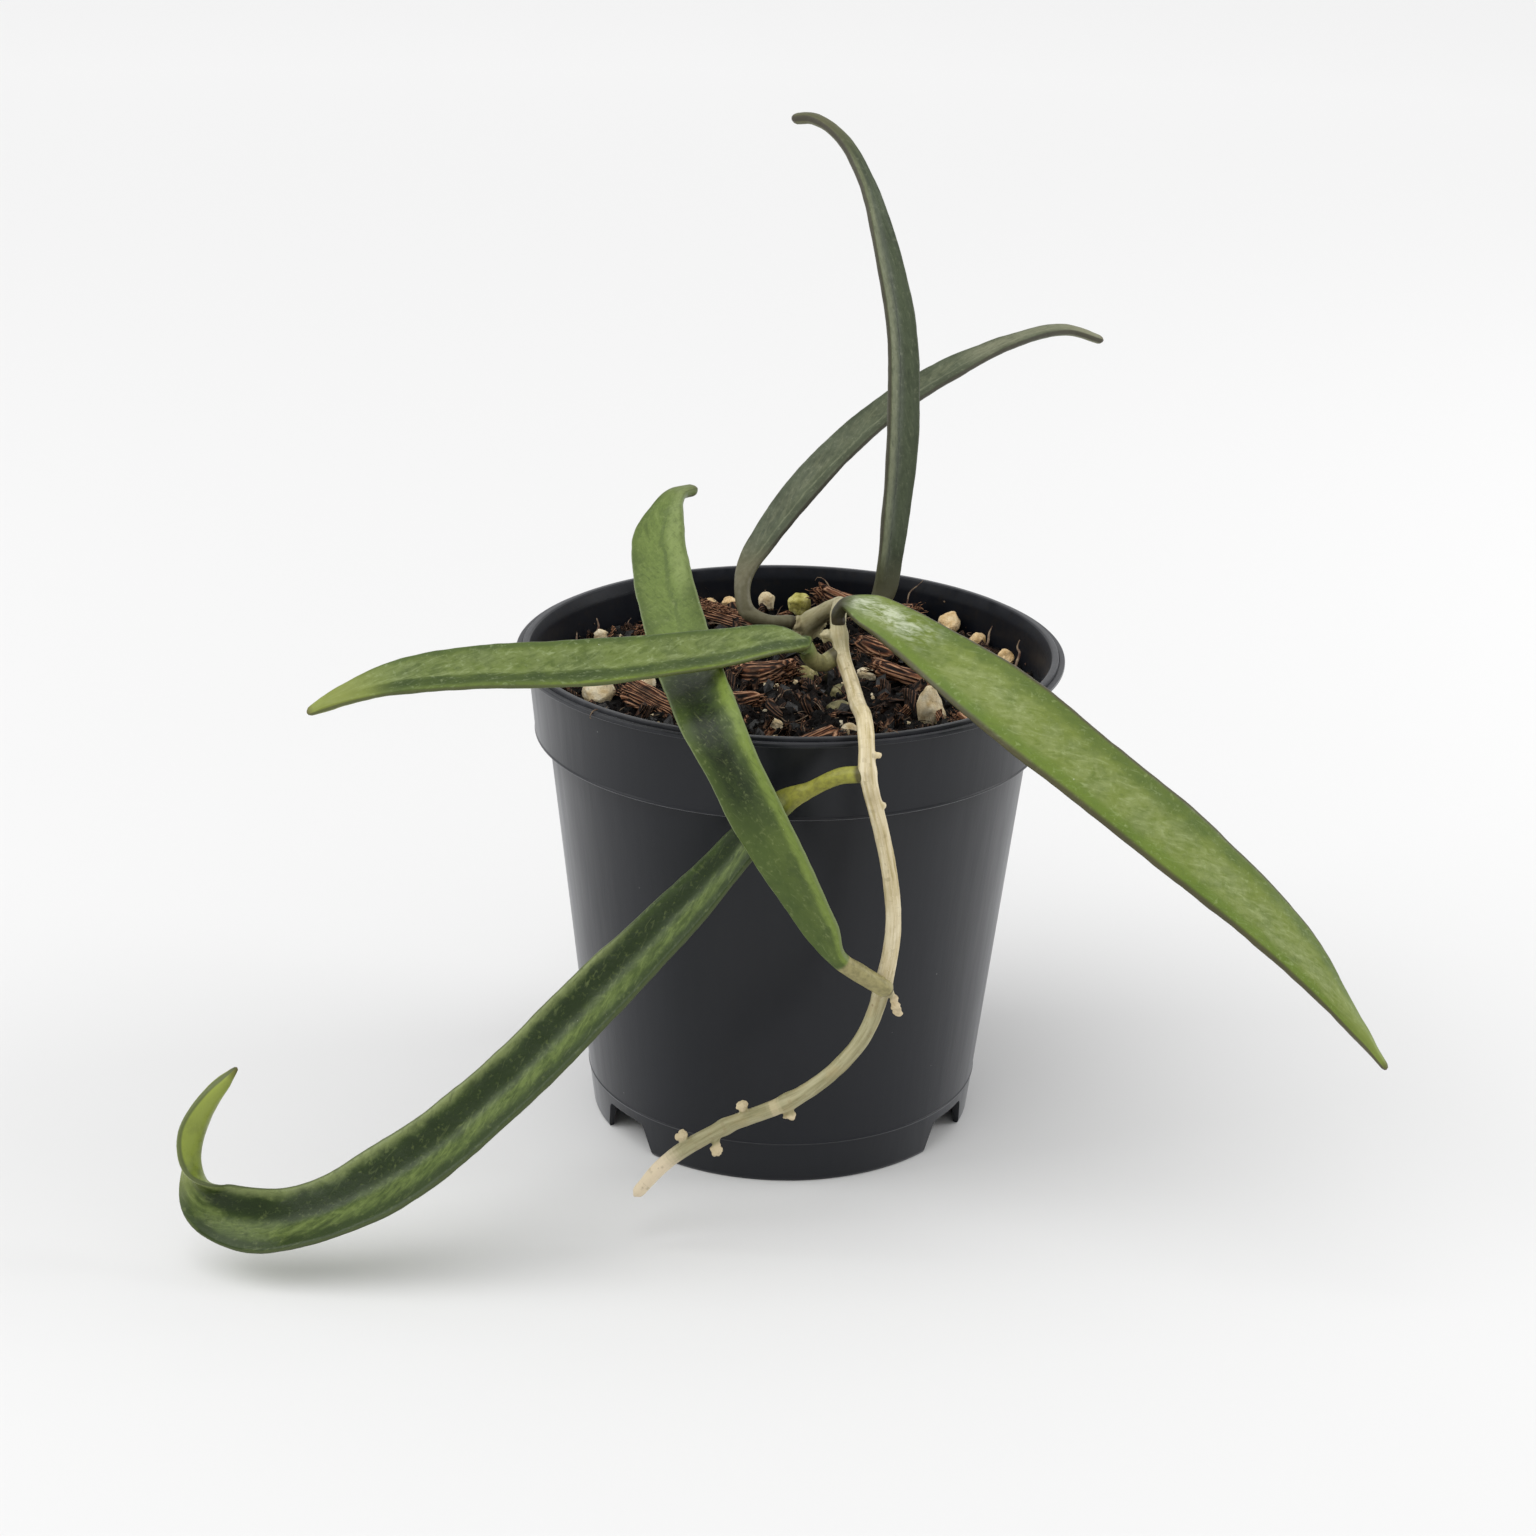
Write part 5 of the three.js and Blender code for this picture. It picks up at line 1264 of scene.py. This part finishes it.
# Scatters one small piece over the part of a surface that scatterArea marks, each copy turned and
# sized at random from a fixed seed.
def scatterTree():
    tree = bpy.data.node_groups.new("scatter", "GeometryNodeTree")
    sockets = {"Surface": "Geometry", "Piece": "Object", "Skin": "Material", "Spacing": "Float",
               "Per Area": "Float", "Smallest": "Float", "Largest": "Float", "Lean": "Float",
               "Seed": "Int"}
    for name, kind in sockets.items():
        tree.interface.new_socket(name=name, in_out="INPUT", socket_type="NodeSocket" + kind)
    tree.interface.new_socket(name="Surface", in_out="OUTPUT", socket_type="NodeSocketGeometry")
    node = partial(addNode, tree)
    given = node("NodeGroupInput")
    area = node("GeometryNodeInputNamedAttribute", {"Name": "scatterArea"},
                data_type="FLOAT")["Attribute"]
    spots = node("GeometryNodeDistributePointsOnFaces",
                 {"Mesh": given["Surface"], "Distance Min": given["Spacing"],
                  "Density Max": given["Per Area"], "Density Factor": area, "Seed": given["Seed"]},
                 distribute_method="POISSON")["Points"]
    less = node("ShaderNodeMath MULTIPLY", given["Lean"], -1.0)
    low = node("ShaderNodeCombineXYZ", less, less)
    high = node("ShaderNodeCombineXYZ", given["Lean"], given["Lean"], 2 * math.pi)
    turn = node("FunctionNodeRandomValue", low, {1: high, "Seed": given["Seed"]},
                data_type="FLOAT_VECTOR")
    size = node("FunctionNodeRandomValue", {2: given["Smallest"], 3: given["Largest"],
                                            "Seed": given["Seed"]}, data_type="FLOAT")[1]
    shape = node("GeometryNodeObjectInfo", given["Piece"])["Geometry"]
    copies = node("GeometryNodeInstanceOnPoints",
                  {"Points": spots, "Instance": shape, "Rotation": turn, "Scale": size})
    plain = node("GeometryNodeRealizeInstances", copies)
    skinned = node("GeometryNodeSetMaterial", {"Geometry": plain, "Material": given["Skin"]})
    node("NodeGroupOutput", skinned)
    return tree


scatterGroup = scatterTree()


def scatter(name, host, source, skin, spacing, perArea, smallest, largest, lean, seed, slot):
    piece = addObject(name, host.data.copy())
    maker = piece.modifiers.new("scatter", "NODES")
    maker.node_group = scatterGroup
    settings = {"Piece": source, "Skin": skin, "Spacing": spacing * mm, "Per Area": perArea * 1e6,
                "Smallest": smallest * mm, "Largest": largest * mm, "Lean": lean, "Seed": seed}
    for item in scatterGroup.interface.items_tree:
        if item.in_out == "INPUT" and item.name in settings:
            maker[item.identifier] = settings[item.name]
    settle(piece)
    finishPiece(keepInside(piece), slot)


# The small pieces that are scattered, one unit in size: an angular crumb, a split of bark and
# three bent fibres.
def crumbSource(name, seed, stretch):
    draw = np.random.default_rng(seed)
    shape = bmesh.new()
    bmesh.ops.create_icosphere(shape, subdivisions=1, radius=1.0)
    for corner in shape.verts:
        corner.co *= draw.uniform(0.7, 1.25)
        corner.co = Vector(a * b for a, b in zip(corner.co, stretch))
    return pieceFrom(shape, name, stoneSkins["bark"])


def splitSource(name, seed):
    draw = np.random.default_rng(seed)
    shape = bmesh.new()
    bmesh.ops.create_grid(shape, x_segments=6, y_segments=3, size=1.0)
    bmesh.ops.solidify(shape, geom=list(shape.faces), thickness=0.22)
    bmesh.ops.recalc_face_normals(shape, faces=shape.faces)
    for corner in shape.verts:
        x, y, z = corner.co
        corner.co = (x + draw.uniform(-0.16, 0.16),
                     y * (0.34 - 0.12 * x * x) + 0.03 * math.sin(5 * x),
                     z + 0.25 * x * x - 0.3 * y * y + draw.uniform(-0.07, 0.07))
    source = pieceFrom(shape, name, stoneSkins["bark"])
    addVectors(source, "chipPlace", readPoints(source) * mm * 3)
    return source


def fibreSource(name, seed):
    draw = np.random.default_rng(seed)
    steps = np.linspace(-1, 1, 8)
    bend, twist = draw.uniform(-0.6, 0.6, 2)
    path = np.column_stack([steps, bend * steps ** 2 + 0.1 * np.sin(4 * steps + seed),
                            0.12 * np.sin(3 * steps) + 0.2 * twist * steps ** 2])
    return makeStrands(name, [(path / mm, 0.035 / mm)], [0.0], stoneSkins["bark"])


# A band just inside the wall that carries the bits thrown up on it, thickest near the mix.
def wallBand():
    rows, count = np.linspace(85.5, 91, 8), 160
    cosine, sine = roundTurns(count)
    points = []
    for height in rows:
        reach = insideRadius(height) - 0.1
        points.append(np.column_stack([cosine * reach, sine * reach, np.full(count, height)]))
    points = np.vstack(points)
    faces = [(row * count + k, row * count + (k + 1) % count, (row + 1) * count + (k + 1) % count,
              (row + 1) * count + k) for row in range(len(rows) - 1) for k in range(count)]
    band = newPiece("wall_band", points, faces, stoneSkins["bark"])
    patches = np.clip(noiseAt(points, 9.0, 2) * 2.5, 0, 1)
    markArea(band, patches * (1 - smoothStep(85.5, 91.5, points[:, 2])))
    return band


def charcoalSkin():
    material, node, fill = newMaterial("crushedCharcoal")
    cloud = node("TexNoise", objectMillimetres(node), {"Scale": 1.2, "Detail": 4.0})
    # freshly broken faces are black and glassy
    fill({"Base Color": node("ValToRGB", cloud, stops=[(0.4, "#040404"), (0.7, "#151312")]),
          "Roughness": 0.3, "Specular IOR Level": 0.28,
          "Normal": node("Bump", {"Height": cloud, "Strength": 0.6, "Distance": 0.0003})})
    return material


def dryFibre():
    material, node, fill = newMaterial("dryCoirFibre")
    cloud = node("TexNoise", objectMillimetres(node), {"Scale": 0.9, "Detail": 3.0})
    fill({"Base Color": node("ValToRGB", cloud, stops=[(0.35, "#4a2f22"), (0.65, "#8d7a63")]),
          "Roughness": 0.8})
    return material


# What lies on the mix and sticks to the inside of the wall. Each row has the surface, what is
# scattered, its skin, spacing in mm, number per square mm, smallest and largest size in mm, lean in
# radians, seed and slot.
litter = {
    "mix_crumbs": ("mix", "crumb", "peat", 1.0, 0.34, 0.3, 1.0, 3.1, 11, "potting_mix"),
    "mix_charcoal": ("mix", "charcoal", "charcoal", 3.2, 0.04, 0.9, 2.5, 3.1, 12, "potting_mix"),
    "mix_splits": ("mix", "split", "wetBark", 1.9, 0.06, 1.4, 3.6, 1.1, 13, "bark"),
    "mix_shreds": ("mix", "split", "bark", 4.0, 0.016, 0.9, 2.8, 0.9, 21, "bark"),
    "mix_grit": ("mix", "crumb", "pumice", 1.9, 0.034, 0.2, 0.85, 3.1, 14, "pumice"),
    "mix_fibres_1": ("mix", "fibre_1", "bark", 1.2, 0.035, 1.4, 4.4, 0.5, 15, "potting_mix"),
    "mix_fibres_2": ("mix", "fibre_2", "wetBark", 1.2, 0.035, 1.4, 4.4, 0.5, 16, "potting_mix"),
    "mix_fibres_3": ("mix", "fibre_3", "dry", 1.2, 0.035, 1.4, 4.4, 0.5, 17, "potting_mix"),
    "wall_specks": ("wall", "crumb", "dry", 1.2, 0.07, 0.1, 0.32, 3.1, 31, "potting_mix"),
    "wall_hairs": ("wall", "fibre_2", "wetBark", 2.5, 0.012, 0.8, 2.0, 1.2, 32, "potting_mix"),
}


def dressMix():
    sources = {"crumb": crumbSource("crumb", 3, (1, 0.8, 0.7)),
               "charcoal": crumbSource("charcoal", 8, (1, 0.75, 0.6)),
               "split": splitSource("split", 5)}
    for seed in (1, 2, 3):
        sources[f"fibre_{seed}"] = fibreSource(f"fibre_{seed}", seed)
    skins = {**stoneSkins, "peat": mixSurface.data.materials[0], "charcoal": charcoalSkin(),
             "dry": dryFibre()}
    surfaces = {"mix": mixSurface, "wall": wallBand()}
    for name, (surface, source, skin, *numbers) in litter.items():
        scatter(name, surfaces[surface], sources[source], skins[skin], *numbers)
    for spare in (surfaces["wall"], *sources.values()):
        bpy.data.objects.remove(spare)


# Single dry fibres that stand against the inside of the wall and hang over the lip.
strayFibres = [
    ([(9.5, 40.5, 86.2), (8.0, 42.2, 88.4), (7.6, 44.4, 90.0), (6.2, 46.2, 91.4), (5.0, 46.5, 91.5),
      (4.6, 46.3, 90.9)], 0.16),
    ([(21.5, 35, 86.4), (22.8, 36.2, 89.6), (23.4, 38.4, 91.4), (25.2, 39.8, 92.6),
      (26, 39.6, 93.6)], 0.16),
    ([(42.3, 6.0, 85.5), (42.8, 8.5, 87.0), (43.6, 11, 88.6), (43.2, 13, 89.0), (43.7, 14.0, 90.2)],
     0.3),
    ([(37.4, 20, 85.6), (38.2, 21, 87.4), (38.4, 22.4, 88.6), (39.0, 23, 89.9)], 0.26),
    ([(-37.2, 21, 84.8), (-37.7, 23, 86.2), (-37.4, 24.6, 87.4), (-37.9, 26, 88.6)], 0.3),
    ([(-40.6, 16, 85.0), (-41.2, 18, 86.6), (-41.3, 20, 87.7)], 0.24),
    ([(-33.4, -37.3, 92.9), (-34.2, -37.6, 92.6), (-34.7, -38.0, 91.7), (-34.5, -37.7, 91.2)],
     0.12),
    ([(14.5, -42, 86.5), (15.8, -43.2, 90.4), (17.2, -44.6, 92.8), (18.3, -45.8, 93.3),
      (18.9, -46.6, 93.2)], 0.13),
]


def makeStrayFibres():
    paths = []
    for points, radius in strayFibres:
        spots, _ = evenSpots(np.array(points, float), np.linspace(0, 1, 14))
        paths.append((smoothRow(points, spots), radius))
    piece = makeStrands("stray_fibres", paths, range(len(paths)), dryFibre(), sides=6)
    finishPiece(piece, "potting_mix")


dressMix()
makeStrayFibres()
print("mix dressed")
